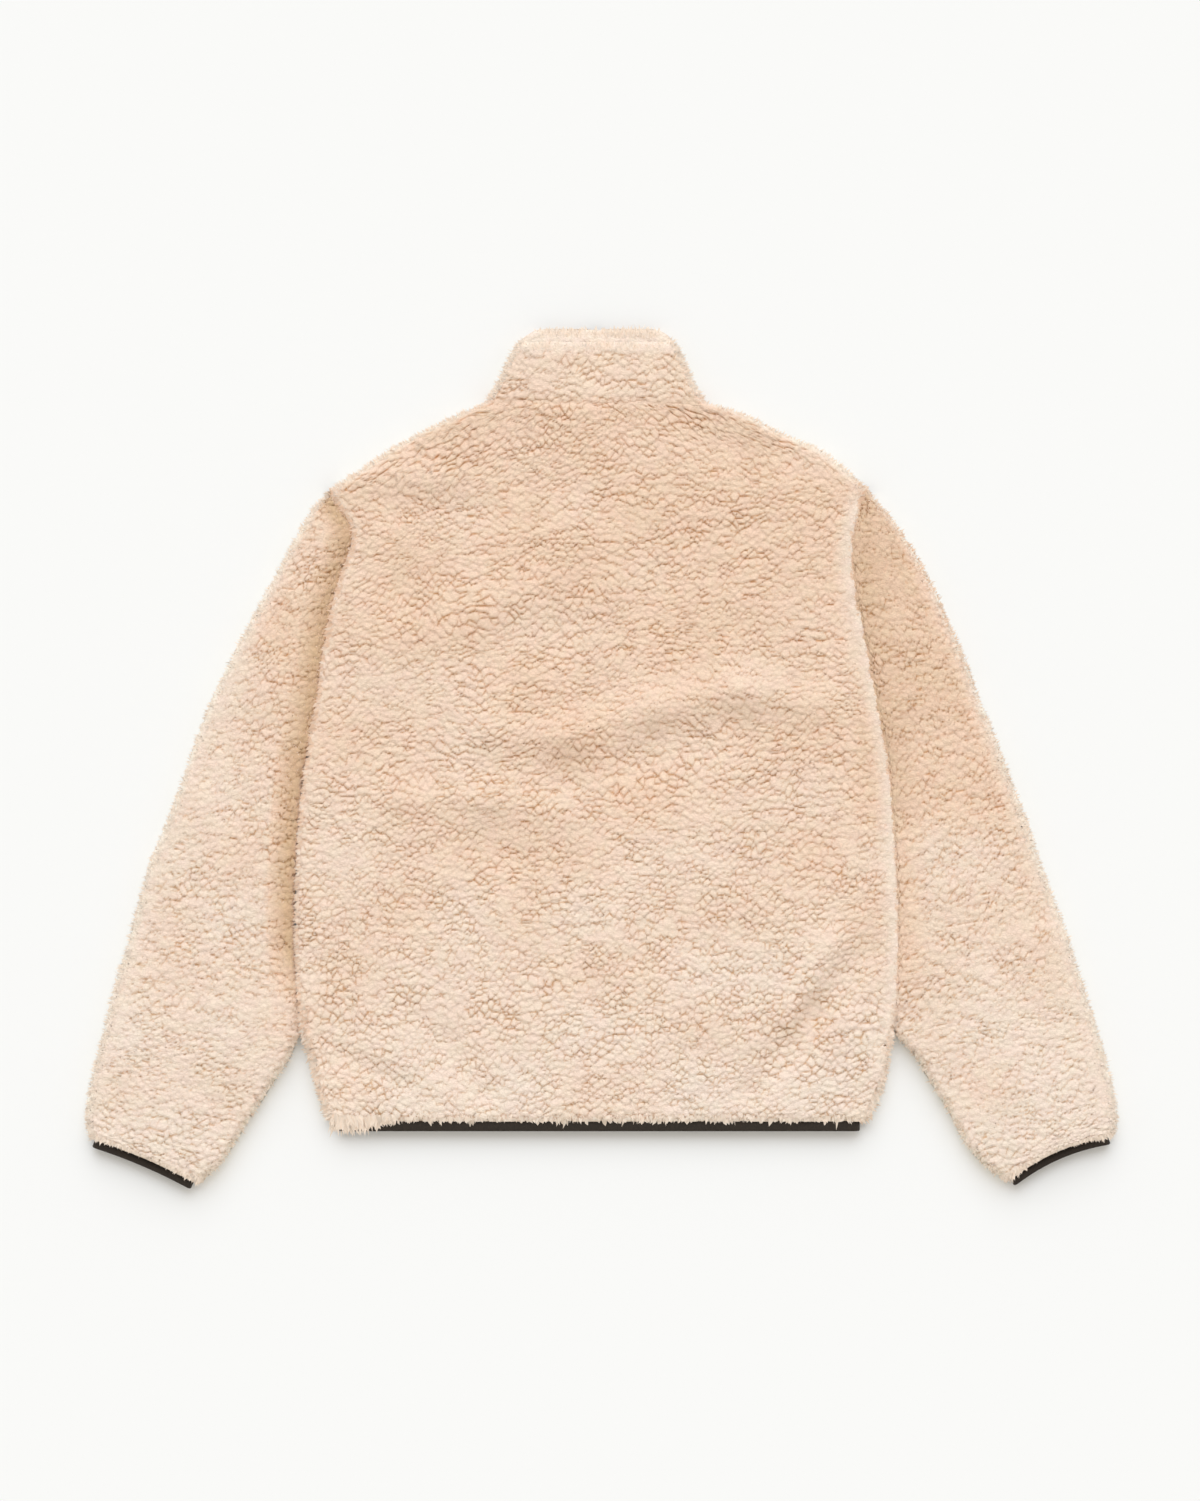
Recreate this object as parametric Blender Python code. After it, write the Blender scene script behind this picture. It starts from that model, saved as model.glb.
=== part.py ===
"""Sherpa jacket laid flat on its front, with the back up and both sleeves drawn down beside it.

X runs across the jacket, Y from hem to collar and Z up from the surface it lies on. Sizes are in
millimetres and become metres when a mesh is made. Every cloth piece is a closed wall between an outer
and an inner grid of points. The lower layer is flat on the surface, the upper layer lies on it, and
the two meet in rolled edges at half height, where their seams are.
"""
import bpy
import bmesh
import numpy as np
from mathutils import Matrix, Vector

# Cloth and seams
WALL = 8.5                          # backing with the pile on it, one layer
LAYER_GAP = 1.0                     # air between the upper and the lower layer
LAID = 2 * WALL + LAYER_GAP         # both layers as they lie
ROLL_LEVEL = LAID / 2               # height of the side, shoulder and underarm seams
SEAM_GAP = 0.3                      # between two sewn pieces
SIDE_GAP = 1.0                      # between a sleeve and the side of the body
CUFF_GAP = 0.8                      # between a sleeve and its binding, whose curves have unlike steps
SEAM_DIP = 4.5                      # how far the pile sinks towards an armhole seam
SLEEVE_DIP = 5.5                    # the same on the sleeve's side, which lies lower
EDGE_DIP = 4.0                      # rounding of the pile at the hem, cuffs, neck seam and collar top
UNDERSIDE_RISE = 2.5                # rounding below, at the hem, cuffs and collar top
EDGE_RUN = 9.0                      # width of that rounding
FOLD_LIFT = 2.5                     # most that the upper layer rises off the lower one under a fold

# Places along the jacket
NECK_SEAM_Y = 336.0
HEM_Y = -345.0
FIRST_SLEEVE_Y = 249.0              # just below the point of the shoulder
PARTING_Y = -265.0                  # where the sleeves leave the sides of the body
COLLAR_BACK_TOP_Y = 393.0
COLLAR_FRONT_TOP_Y = 406.0
OUTLINE_CENTRE = (-0.5, -2.0)       # moved to the origin
FRONT_X = -5.0                      # line of the zip
FRONT_HALF_GAP = 8.0                # from that line to each front edge

# Steps of the grids
ROW_STEP = 20.0
ROLL_ANGLES = np.radians([90, 60, 30, 0])
FULL_ROLL_ANGLES = np.radians([0, 30, 60, 90, 120, 150, 180])
BACK_COLUMNS = 16
FRONT_COLUMNS = 3
SLEEVE_TOP_COLUMNS = 5
SLEEVE_UNDER_COLUMNS = 4
COLLAR_TOP_COLUMNS = 10
COLLAR_UNDER_COLUMNS = 3
SLEEVE_LOWER_ROWS = 6

# Elastic binding
HEM_BINDING_HEIGHT = 10.0
CUFF_BINDING_HEIGHT = 8.0
BINDING_WALL = 3.6
BINDING_TOP_Z = 11.6                # middle of its upper layer
BINDING_UNDER_Z = 4.6               # middle of its lower layer
HEM_BINDING_LEFT_X = -251.0
HEM_BINDING_RIGHT_X = 245.0
CUFF_BINDING_INSET = 5.0            # from each corner of the cuff

# Zip
CHAIN_HALF_WIDTH = 3.0
CHAIN_Z = (5.2, 7.8)
TAPE_Z = (6.0, 7.0)
ZIP_FOOT_Y = -338.0
ZIP_TOP_Y = 391.5
BOX_LENGTH = 12.0
BOX_Z = (4.4, 8.4)
SLIDER_HALF_WIDTH = 4.5
SLIDER_Y = (384.0, 398.0)
SLIDER_Z = (3.9, 9.1)
SLIDER_PLATE = 1.0
SLIDER_BRIDGE_Y = 392.0
BAIL_HALF_WIDTH = 1.0
BAIL_Y = (386.0, 391.0)
BAIL_BOTTOM_Z = 0.9
BAIL_WIRE = 0.9
PULL_AXIS_Y = 388.5
PULL_AXIS_Z = 2.85
PULL_HALF_WIDTH = 3.2
PULL_WINDOW_HALF_WIDTH = 1.4
PULL_THICKNESS = 1.1
PULL_LENGTH = 26.0
PULL_WINDOW_LENGTH = 4.0

FLEECE = (0.79, 0.62, 0.47)
ELASTIC = (0.012, 0.010, 0.008)
TAPE = (0.62, 0.49, 0.37)
METAL = (0.30, 0.27, 0.23)
MM = 0.001


def table(columns, rows):
    """The named columns of a short table that has one row for each section."""
    return dict(zip(columns.split(), np.array(rows, dtype=float).T))


# The body's outline from hem to neck. A side is rolled where back and front meet in its edge, at the
# shoulder and below the arm, and open where the sleeve is set in.
BODY = table("y left right left_rolled right_rolled", [
    (-345, -258, 252, 1, 1),
    (-342, -261, 255, 1, 1),
    (-336, -264, 258, 1, 1),
    (-311, -272, 268, 1, 1),
    (-285, -279, 273, 1, 1),
    (-265, -285, 277, 1, 1),
    (-230, -288, 279, 1, 1),
    (-160, -291, 281, 1, 1),
    (-100, -289, 279, 1, 1),
    (-50, -286, 276, 1, 1),
    (-2, -280, 272, 1, 1),
    (16, -276, 269, 0, 0),
    (56, -269, 261, 0, 0),
    (98, -263, 253, 0, 0),
    (137, -255, 245, 0, 0),
    (175, -245, 239, 0, 0),
    (197, -237, 237, 0, 0),
    (218, -235, 239, 0, 0),
    (232, -243, 242, 0, 0),
    (243, -251, 245, 0, 0),
    (249, -255, 248, 0, 0),
    (253, -255, 249, 1, 1),
    (273, -228, 231, 1, 1),
    (292, -200, 205, 1, 1),
    (311, -166, 162, 1, 1),
    (327, -132, 129, 1, 1),
    (333, -118, 108, 1, 1),
    (336, -111, 99, 1, 1),
])

# The sleeves' outer edges, from cuff to shoulder.
OUTER_EDGE = table("y left right", [
    (-360, -486, 485),
    (-345, -489, 488),
    (-326, -488, 487),
    (-288, -480, 478),
    (-250, -470, 467),
    (-212, -461, 455),
    (-174, -449, 443),
    (-136, -439, 429),
    (-98, -428, 415),
    (-60, -412, 403),
    (-22, -398, 388),
    (16, -385, 374),
    (54, -370, 358),
    (92, -352, 345),
    (130, -333, 328),
    (168, -312, 311),
    (206, -292, 289),
    (225, -281, 276),
    (243, -268, 260),
    (249, -262, 254),
])

# The sleeves' inner edges below the place where they leave the body.
INNER_EDGE = table("left_x left_y right_x right_y", [
    (-299, -290, 297, -285),
    (-313, -311, 313, -311),
    (-331, -339, 329, -337),
    (-349, -367, 345, -367),
    (-363, -388, 364, -389),
    (-383, -405, 384, -403),
])
CUFF_LIFT = {"left": 44.0, "right": 44.0}       # the cuff's outer corner is this much higher
CUFF_BOW = {"left": 3.0, "right": 8.0}          # how far the cuff curves in at its middle

COLLAR = table("y left right", [
    (336, -111, 99),
    (342, -107, 95),
    (354, -100, 88),
    (375, -90, 79),
    (393, -79, 69),
    (401, -71, 62),
    (406, -63, 55),
])

# The largest folds of the back: soft ridges and troughs about straight lines.
FOLDS = table("x0 y0 x1 y1 height half_width", [
    (-105, 24, -35, 20, 4.0, 19),
    (-35, 20, 50, 46, 5.0, 19),
    (50, 46, 130, 64, 6.0, 19),
    (130, 64, 205, 48, 4.5, 18),
    (-110, -14, -30, -22, -2.0, 20),
    (-30, -22, 140, 22, -2.5, 20),
    (-195, -38, -110, -38, 4.0, 18),
    (-110, -38, -48, -50, 3.5, 18),
    (-160, -88, -60, -98, -2.0, 20),
    (-210, 112, -50, 165, 3.5, 22),
    (-116, 96, 0, 126, -2.0, 22),
    (-225, 266, -140, 262, 3.5, 16),
    (-196, 236, -110, 230, -2.0, 18),
    (80, 304, 180, 276, -2.5, 20),
    (252, -186, 200, -243, -3.5, 16),
    (200, -243, 142, -318, -3.5, 16),
    (216, -176, 176, -246, 3.5, 17),
    (-170, -250, -114, -318, -2.5, 16),
])


def on_curve(rows, key, at, by="y"):
    """A column of a table at the values `at` of its column `by`.

    A cubic joins each two rows, and its slope at a row is that of the row's two neighbours.
    """
    order = np.argsort(rows[by])
    x, f = rows[by][order], rows[key][order]
    slope = np.gradient(f, x)
    at = np.asarray(at, dtype=float)
    k = np.clip(np.searchsorted(x, at, side="right") - 1, 0, len(x) - 2)
    run = x[k + 1] - x[k]
    t = (at - x[k]) / run
    return ((1 + 2 * t) * (1 - t) ** 2 * f[k] + t * (1 - t) ** 2 * run * slope[k]
            + t ** 2 * (3 - 2 * t) * f[k + 1] - t ** 2 * (1 - t) * run * slope[k + 1])


def levels(ends, step):
    """The rising values `ends`, with even steps of at most `step` put between them."""
    parts = [np.linspace(a, b, int(np.ceil((b - a) / step)) + 1)[:-1] for a, b in zip(ends, ends[1:])]
    return np.append(np.concatenate(parts), ends[-1])


def fold_height(x, y):
    """Sum over the folds of height times exp(-(distance from the fold's line / half width)^2)."""
    total = np.zeros(np.broadcast(x, y).shape)
    for x0, y0, x1, y1, height, half_width in zip(*FOLDS.values()):
        run = np.array([x1 - x0, y1 - y0])
        t = np.clip(((x - x0) * run[0] + (y - y0) * run[1]) / (run @ run), 0, 1)
        distance = np.hypot(x - x0 - t * run[0], y - y0 - t * run[1])
        total += height * np.exp(-(distance / half_width) ** 2)
    return total


def edge_round(distance):
    """From 1 at an edge to 0 at EDGE_RUN from it, along a quarter of a circle."""
    u = np.clip(1 - distance / EDGE_RUN, 0, 1)
    return 1 - np.sqrt(1 - u ** 2)


def finish(name, mesh, colour, smooth=True, roughness=0.95, metallic=0.0):
    """Put a mesh into the scene as a named piece with its own material."""
    material = bpy.data.materials.new(name)
    material.use_nodes = True
    shader = material.node_tree.nodes["Principled BSDF"]
    shader.inputs["Base Color"].default_value = (*colour, 1)
    shader.inputs["Roughness"].default_value = roughness
    shader.inputs["Metallic"].default_value = metallic
    mesh.materials.append(material)
    if smooth:
        mesh.shade_smooth()
        mesh.set_sharp_from_angle(angle=np.radians(50))
    piece = bpy.data.objects.new(name, mesh)
    collection.objects.link(piece)
    piece.parent = stand
    return piece


def wall(name, outer, inner, colour):
    """A closed cloth wall between two grids of points, rows x columns x 3, with a rim all round.

    The grids run so that the outer one faces away from the inner one.
    """
    rows, columns = outer.shape[:2]
    count = rows * columns
    index = np.arange(count).reshape(rows, columns)
    a, b = index[:-1, :-1].ravel(), index[:-1, 1:].ravel()
    c, d = index[1:, 1:].ravel(), index[1:, :-1].ravel()
    faces = [np.stack([a, b, c, d], 1), np.stack([d, c, b, a], 1) + count]
    loop = np.concatenate([index[0, :-1], index[:-1, -1], index[-1, :0:-1], index[:0:-1, 0]])
    ahead = np.roll(loop, -1)
    faces.append(np.stack([ahead, loop, loop + count, ahead + count], 1))
    points = np.concatenate([outer.reshape(-1, 3), inner.reshape(-1, 3)]) * MM
    mesh = bpy.data.meshes.new(name)
    mesh.from_pydata(points.tolist(), [], np.concatenate(faces).tolist())
    shell = bmesh.new()
    shell.from_mesh(mesh)
    bmesh.ops.recalc_face_normals(shell, faces=shell.faces)
    shell.to_mesh(mesh)
    shell.free()
    return finish(name, mesh, colour)


def edge_slant(x, y):
    """For an edge line, how much wider a roll is along X than square to the line, at most 2.2 times."""
    slope = np.gradient(x, y)
    return np.minimum(np.sqrt(1 + slope ** 2), 2.2)


def roll_plan(width, angles, rolled):
    """Distances from an edge to the outer and to the inner points of its roll.

    Outer: width x (1 - sin angle). Inner: the same with the radius less the wall where the edge is
    rolled, and straight below the outer point where it is open.
    """
    reach = np.sin(angles)
    outer = width * (1 - reach)
    inner = width * (1 - reach * (rolled * (ROLL_LEVEL - WALL) / ROLL_LEVEL + 1 - rolled))
    return outer, inner


def body_grids(y, upper):
    """Outer and inner points of the upper or the lower layer of the body, over its whole width."""
    left, right = on_curve(BODY, "left", y), on_curve(BODY, "right", y)
    left_rolled = np.interp(y, BODY["y"], BODY["left_rolled"])
    right_rolled = np.interp(y, BODY["y"], BODY["right_rolled"])
    left_width = ROLL_LEVEL * edge_slant(left, y)
    right_width = ROLL_LEVEL * edge_slant(right, y)
    angle = ROLL_ANGLES
    left_out, left_in = roll_plan(left_width[:, None], angle, left_rolled[:, None])
    right_out, right_in = roll_plan(right_width[:, None], angle, right_rolled[:, None])
    x_left_out, x_left_in = left[:, None] + left_out, left[:, None] + left_in
    x_right_out, x_right_in = right[:, None] - right_out[:, ::-1], right[:, None] - right_in[:, ::-1]
    if upper:
        ends = [(left + left_width, right - right_width, BACK_COLUMNS)]
    else:
        ends = [(left + left_width, np.full_like(y, FRONT_X - FRONT_HALF_GAP), FRONT_COLUMNS),
                (np.full_like(y, FRONT_X + FRONT_HALF_GAP), right - right_width, FRONT_COLUMNS)]
    middles = [a[:, None] + (b - a)[:, None] * np.linspace(0, 1, n + 1) for a, b, n in ends]
    # how far round the roll a column is, and which side's kind of edge it has
    turn_left, turn_right = 1 - np.cos(angle), (1 - np.cos(angle))[::-1]
    grids = []
    if upper:
        middle = middles[0][:, 1:-1]
        x_out = np.concatenate([x_left_out, middle, x_right_out], 1)
        x_in = np.concatenate([x_left_in, middle, x_right_in], 1)
        flat = np.zeros(middle.shape[1])
        turn = np.concatenate([turn_left, flat, turn_right])
        rolled = np.concatenate([np.repeat(left_rolled[:, None], len(angle) + len(flat), 1),
                                 np.repeat(right_rolled[:, None], len(angle), 1)], 1)
        grids.append((x_out, x_in, turn, rolled))
    else:
        turn = np.concatenate([turn_left, np.zeros(FRONT_COLUMNS)])
        grids.append((np.concatenate([x_left_out, middles[0][:, 1:]], 1),
                      np.concatenate([x_left_in, middles[0][:, 1:]], 1),
                      turn, np.repeat(left_rolled[:, None], len(turn), 1)))
        turn = np.concatenate([np.zeros(FRONT_COLUMNS), turn_right])
        grids.append((np.concatenate([middles[1][:, :-1], x_right_out], 1),
                      np.concatenate([middles[1][:, :-1], x_right_in], 1),
                      turn, np.repeat(right_rolled[:, None], len(turn), 1)))
    return grids


def back_panel(y):
    """The back: the upper layer from side to side, with its folds."""
    (x_out, x_in, turn, rolled), = body_grids(y, upper=True)
    level = ROLL_LEVEL + SEAM_GAP / 2
    rows = np.repeat(y[:, None], x_out.shape[1], 1)
    fold = fold_height(x_out, rows)
    crest = LAID + fold - EDGE_DIP * np.maximum(edge_round(rows - HEM_Y), edge_round(NECK_SEAM_Y - rows))
    z_out = crest - (rolled * (crest - level) + (1 - rolled) * SEAM_DIP) * turn
    base = WALL + LAYER_GAP + np.clip(0.35 * fold, 0, FOLD_LIFT)
    z_in = base - (rolled * (base - level) + (1 - rolled) * (base - WALL - LAYER_GAP)) * turn
    wall("back_panel", np.stack([x_out, rows, z_out], 2), np.stack([x_in, rows, z_in], 2), FLEECE)


def front_panels(y):
    """The two fronts: the lower layer, flat on the surface and parted at the zip."""
    level = ROLL_LEVEL - SEAM_GAP / 2
    for name, (x_out, x_in, turn, rolled) in zip(("front_left", "front_right"), body_grids(y, upper=False)):
        rows = np.repeat(y[:, None], x_out.shape[1], 1)
        lift = UNDERSIDE_RISE * edge_round(rows - HEM_Y)
        z_out = np.maximum(rolled * level * turn, lift)
        z_in = WALL + rolled * (level - WALL) * turn
        wall(name, np.stack([x_out, rows, z_out], 2), np.stack([x_in, rows, z_in], 2), FLEECE)


def sleeve_edges(side, body_y):
    """Inner and outer edge points of a sleeve, the distance of each row from the cuff and its kind.

    Beside the body the inner edge follows the body's own edge, at the same heights. The outer edge
    lies higher than the inner one by a share of CUFF_LIFT that grows towards the cuff.
    """
    sign = -1 if side == "left" else 1
    shared = body_y[(body_y <= FIRST_SLEEVE_Y) & (body_y >= PARTING_Y)][::-1]
    rolled = np.interp(shared, BODY["y"], BODY[side + "_rolled"])
    gap = SEAM_GAP + (SIDE_GAP - SEAM_GAP) * rolled
    beside = np.stack([on_curve(BODY, side, shared) + sign * gap, shared], 1)
    knots = np.concatenate([beside[-1:], np.stack([INNER_EDGE[side + "_x"], INNER_EDGE[side + "_y"]], 1)])
    run = np.concatenate([[0], np.cumsum(np.linalg.norm(np.diff(knots, axis=0), axis=1))])
    stops = np.linspace(0, run[-1] - EDGE_RUN, SLEEVE_LOWER_ROWS + 1)[1:]
    stops = np.concatenate([stops, run[-1] - EDGE_RUN * np.array([0.33, 0])])
    curve = {"at": run, "x": knots[:, 0], "y": knots[:, 1]}
    below = np.stack([on_curve(curve, "x", stops, by="at"), on_curve(curve, "y", stops, by="at")], 1)
    inner = np.concatenate([beside, below])
    rolled = np.concatenate([rolled, np.ones(len(below))])
    length = np.concatenate([[0], np.cumsum(np.linalg.norm(np.diff(inner, axis=0), axis=1))])
    outer_y = inner[:, 1] + CUFF_LIFT[side] * length / length[-1]
    outer = np.stack([on_curve(OUTER_EDGE, side, outer_y), outer_y], 1)
    return inner, outer, length[-1] - length, rolled


def crossing_slant(line, across):
    """How much wider a roll is along `across` than square to the edge `line`, at most 2.2 times."""
    along = np.gradient(line, axis=0)
    along /= np.linalg.norm(along, axis=1)[:, None]
    square = np.abs(along[:, 0] * across[:, 1] - along[:, 1] * across[:, 0])
    return 1 / np.maximum(square, 1 / 2.2)


def sleeve(side, body_y):
    """One cut piece, rolled into a flattened tube whose two long edges meet at the underarm seam.

    Every row runs from the inner edge over the top, round the outer edge and back underneath.
    """
    inner_edge, outer_edge, to_cuff, rolled = sleeve_edges(side, body_y)
    span = outer_edge - inner_edge
    width = np.linalg.norm(span, axis=1)
    across = span / width[:, None]
    fullness = 5.0 * np.clip((width - 30) / 60, 0, 1)
    outer_roll = np.minimum(ROLL_LEVEL * crossing_slant(outer_edge, across), 0.6 * width)
    inner_roll = ROLL_LEVEL * crossing_slant(inner_edge, across)
    set_in = np.minimum(24.0, 0.35 * width)
    inner_roll = np.minimum(rolled * inner_roll + (1 - rolled) * set_in, 0.35 * width)
    rolled = rolled[:, None]

    near_out, near_in = roll_plan(inner_roll[:, None], ROLL_ANGLES, rolled)
    near_turn = 1 - np.cos(ROLL_ANGLES)
    far_out, far_in = roll_plan(outer_roll[:, None], FULL_ROLL_ANGLES, np.ones_like(rolled))
    run = np.linspace(0, 1, SLEEVE_TOP_COLUMNS + 1)[1:-1]
    back_run = np.linspace(1, 0, SLEEVE_UNDER_COLUMNS + 1)[1:-1]
    between = (width - outer_roll - inner_roll)[:, None]
    top = inner_roll[:, None] + between * run
    under = inner_roll[:, None] + between * back_run

    def crown(q):
        """Height of the upper surface: both layers and the sleeve's fullness, a parabola across it."""
        return LAID + fullness[:, None] * (1 - (2 * q / width[:, None] - 1) ** 2)

    def air(q):
        """Height of the upper layer's inner side, which lifts off a little under the fullness."""
        return WALL + LAYER_GAP + 0.4 * (crown(q) - LAID)

    level = ROLL_LEVEL + SEAM_GAP / 2
    near_q = np.broadcast_to(inner_roll[:, None], near_out.shape)
    z_near = crown(near_q) - (rolled * (crown(near_q) - level) + (1 - rolled) * SLEEVE_DIP) * near_turn
    z_near_in = air(near_q) - (rolled * (air(near_q) - level)
                               + (1 - rolled) * (air(near_q) - WALL - LAYER_GAP)) * near_turn
    far_q = np.broadcast_to((width - outer_roll)[:, None], far_out.shape)
    over = np.clip(1 - np.cos(FULL_ROLL_ANGLES), 0, 1)
    below = np.clip(1 + np.cos(FULL_ROLL_ANGLES), 0, 1)
    is_top = FULL_ROLL_ANGLES <= np.pi / 2
    z_far = np.where(is_top, crown(far_q) - (crown(far_q) - ROLL_LEVEL) * over, ROLL_LEVEL * below)
    z_far_in = np.where(is_top, air(far_q) - (air(far_q) - ROLL_LEVEL) * over,
                        WALL + (ROLL_LEVEL - WALL) * below)
    level = ROLL_LEVEL - SEAM_GAP / 2
    z_last = rolled * level * near_turn[::-1]
    z_last_in = WALL + rolled * (level - WALL) * near_turn[::-1]

    flat = np.zeros_like(under)
    q_out = np.concatenate([near_out, top, width[:, None] - far_out, under, near_out[:, ::-1]], 1)
    q_in = np.concatenate([near_in, top, width[:, None] - far_in, under, near_in[:, ::-1]], 1)
    z_out = np.concatenate([z_near, crown(top), z_far, flat, z_last], 1)
    z_in = np.concatenate([z_near_in, air(top), z_far_in, flat + WALL, z_last_in], 1)

    # the cuff's rounded edge, drawn in above and below towards half height
    rounding = edge_round(to_cuff)[:, None]
    above = z_out > ROLL_LEVEL
    z_out = np.where(above, z_out - EDGE_DIP * rounding * (z_out - ROLL_LEVEL) / (LAID - ROLL_LEVEL),
                     z_out + UNDERSIDE_RISE * rounding * (1 - z_out / ROLL_LEVEL))

    bow = CUFF_BOW[side] * np.clip(1 - to_cuff / 60, 0, 1)[:, None] ** 2
    down_sleeve = np.stack([across[:, 1], -across[:, 0]], 1) * (1 if side == "right" else -1)

    def placed(q, z):
        """Points at the distance q across each row, with the cuff's bow added, and at height z."""
        arch = bow * (1 - (2 * q / width[:, None] - 1) ** 2)
        plan = (inner_edge[:, None] + across[:, None] * q[..., None]
                - down_sleeve[:, None] * arch[..., None])
        return np.concatenate([plan, z[..., None]], 2)

    wall("sleeve_" + side, placed(q_out, z_out), placed(q_in, z_in), FLEECE)
    return inner_edge[-1], outer_edge[-1]


def collar():
    """Stand collar: from the left front edge, round the back of the neck, to the right front edge."""
    start = NECK_SEAM_Y + SEAM_GAP
    height = COLLAR_BACK_TOP_Y - start
    steps = np.array([0, 3, EDGE_RUN, 22, 36, height - EDGE_RUN, height - 3, height]) / height
    half = FULL_ROLL_ANGLES
    left_under = np.full(COLLAR_UNDER_COLUMNS, np.pi)
    top = np.zeros(COLLAR_TOP_COLUMNS - 1)
    angle = np.concatenate([left_under, half[::-1], top, half, left_under])
    # the share of the way from the left roll to the right one, or from a roll to the front edge
    run_under = np.linspace(1, 0, COLLAR_UNDER_COLUMNS + 1)[:-1]
    run_top = np.linspace(0, 1, COLLAR_TOP_COLUMNS + 1)
    zeros = np.zeros(len(half))
    under_left = np.concatenate([run_under, zeros, 0 * top, zeros, 0 * run_under])
    under_right = under_left[::-1]
    across = np.concatenate([0 * run_under, zeros, run_top[1:-1], zeros + 1, 0 * run_under + 1])

    low = (1 - np.cos(angle)) / 2
    y = start + steps[:, None] * (height + (COLLAR_FRONT_TOP_Y - COLLAR_BACK_TOP_Y) * low)
    left, right = on_curve(COLLAR, "left", y), on_curve(COLLAR, "right", y)
    roll = ROLL_LEVEL * 1.15
    reach = np.abs(np.sin(angle))
    on_left = across < 0.5

    def plan(depth):
        """X of the points: an edge, its roll of the given depth, and the straight runs between."""
        a = left + roll - roll * depth * reach
        b = right - roll + roll * depth * reach
        x = np.where(on_left, a, b)
        inside = (across > 0) & (across < 1)
        x = np.where(inside, left + roll + (right - left - 2 * roll) * across, x)
        x = x + under_left * (FRONT_X - FRONT_HALF_GAP - left - roll)
        return x + under_right * (FRONT_X + FRONT_HALF_GAP - right + roll)

    to_seam, to_top = y - start, (1 - steps[:, None]) * height
    is_top = angle <= np.pi / 2
    crest = LAID - EDGE_DIP * np.maximum(edge_round(to_seam), edge_round(to_top))
    turn = np.clip(1 - np.cos(angle), 0, 1)
    rise = np.clip(1 + np.cos(angle), 0, 1)
    under = UNDERSIDE_RISE * edge_round(to_top)
    z_out = np.where(is_top, crest - (crest - ROLL_LEVEL) * turn, under + (ROLL_LEVEL - under) * rise)
    base = WALL + LAYER_GAP
    z_in = np.where(is_top, base - (base - ROLL_LEVEL) * turn, WALL + (ROLL_LEVEL - WALL) * rise)
    z_in = np.broadcast_to(z_in, y.shape)
    depth_in = (ROLL_LEVEL - WALL) / ROLL_LEVEL
    wall("collar", np.stack([plan(1), y, z_out], 2), np.stack([plan(depth_in), y, z_in], 2), FLEECE)


def binding(name, path, down, height, closed):
    """Elastic binding: a rounded strip section carried along a flattened ring.

    `path` gives each point of the ring's middle line and `down` the way from the cloth's edge to the
    binding's own edge. The section is BINDING_WALL thick along the ring's normal.
    """
    ahead = np.roll(path, -1, 0) - np.roll(path, 1, 0)
    if not closed:
        ahead[0], ahead[-1] = path[1] - path[0], path[-1] - path[-2]
    normal = np.cross(ahead, down)
    normal /= np.linalg.norm(normal, axis=1)[:, None]
    half = BINDING_WALL / 2
    soft = 0.35 * BINDING_WALL
    section = [(-half, 0), (-half, height - soft), (-half + soft, height),
               (half - soft, height), (half, height - soft), (half, 0)]
    rings = np.stack([path + normal * out + down * drop for out, drop in section], 1)
    count, sides = rings.shape[:2]
    index = np.arange(count * sides).reshape(count, sides)
    nxt = np.roll(index, -1, 0) if closed else index[1:]
    cur = index if closed else index[:-1]
    faces = np.stack([cur, np.roll(cur, -1, 1), np.roll(nxt, -1, 1), nxt], 2).reshape(-1, 4).tolist()
    if not closed:
        faces += [index[0][::-1].tolist(), index[-1].tolist()]
    mesh = bpy.data.meshes.new(name)
    mesh.from_pydata((rings.reshape(-1, 3) * MM).tolist(), [], faces)
    strip = bmesh.new()
    strip.from_mesh(mesh)
    bmesh.ops.recalc_face_normals(strip, faces=strip.faces)
    strip.to_mesh(mesh)
    strip.free()
    finish(name, mesh, ELASTIC, roughness=0.8)


def flattened_ring(first, last, columns):
    """Half turns of binding at both ends of the line from first to last, in (run, z) pairs.

    The list starts under the first end, goes round it, over the top and round the last end.
    """
    radius = (BINDING_TOP_Z - BINDING_UNDER_Z) / 2
    middle = (BINDING_TOP_Z + BINDING_UNDER_Z) / 2
    reach = radius + BINDING_WALL / 2
    angle = np.radians(np.arange(0, 181, 36))
    start = np.stack([first + reach - radius * np.sin(angle), middle - radius * np.cos(angle)], 1)
    end = np.stack([last - reach + radius * np.sin(angle), middle + radius * np.cos(angle)], 1)
    run = np.linspace(first + reach, last - reach, columns + 1)[1:-1]
    top = np.stack([run, np.full_like(run, BINDING_TOP_Z)], 1)
    return np.concatenate([start, top, end])


def hem_binding():
    """The hem's binding, from the left front edge round the back to the right front edge."""
    ring = flattened_ring(HEM_BINDING_LEFT_X, HEM_BINDING_RIGHT_X, 10)
    left = np.linspace(FRONT_X - FRONT_HALF_GAP, ring[0, 0], 6)[:-1]
    right = np.linspace(ring[-1, 0], FRONT_X + FRONT_HALF_GAP, 6)[1:]
    lay = np.concatenate([
        np.stack([left, np.full_like(left, BINDING_UNDER_Z)], 1), ring,
        np.stack([right, np.full_like(right, BINDING_UNDER_Z)], 1)])
    path = np.stack([lay[:, 0], np.full(len(lay), HEM_Y - SEAM_GAP), lay[:, 1]], 1)
    binding("hem_binding", path, np.array([0.0, -1.0, 0.0]), HEM_BINDING_HEIGHT, closed=False)


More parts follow.
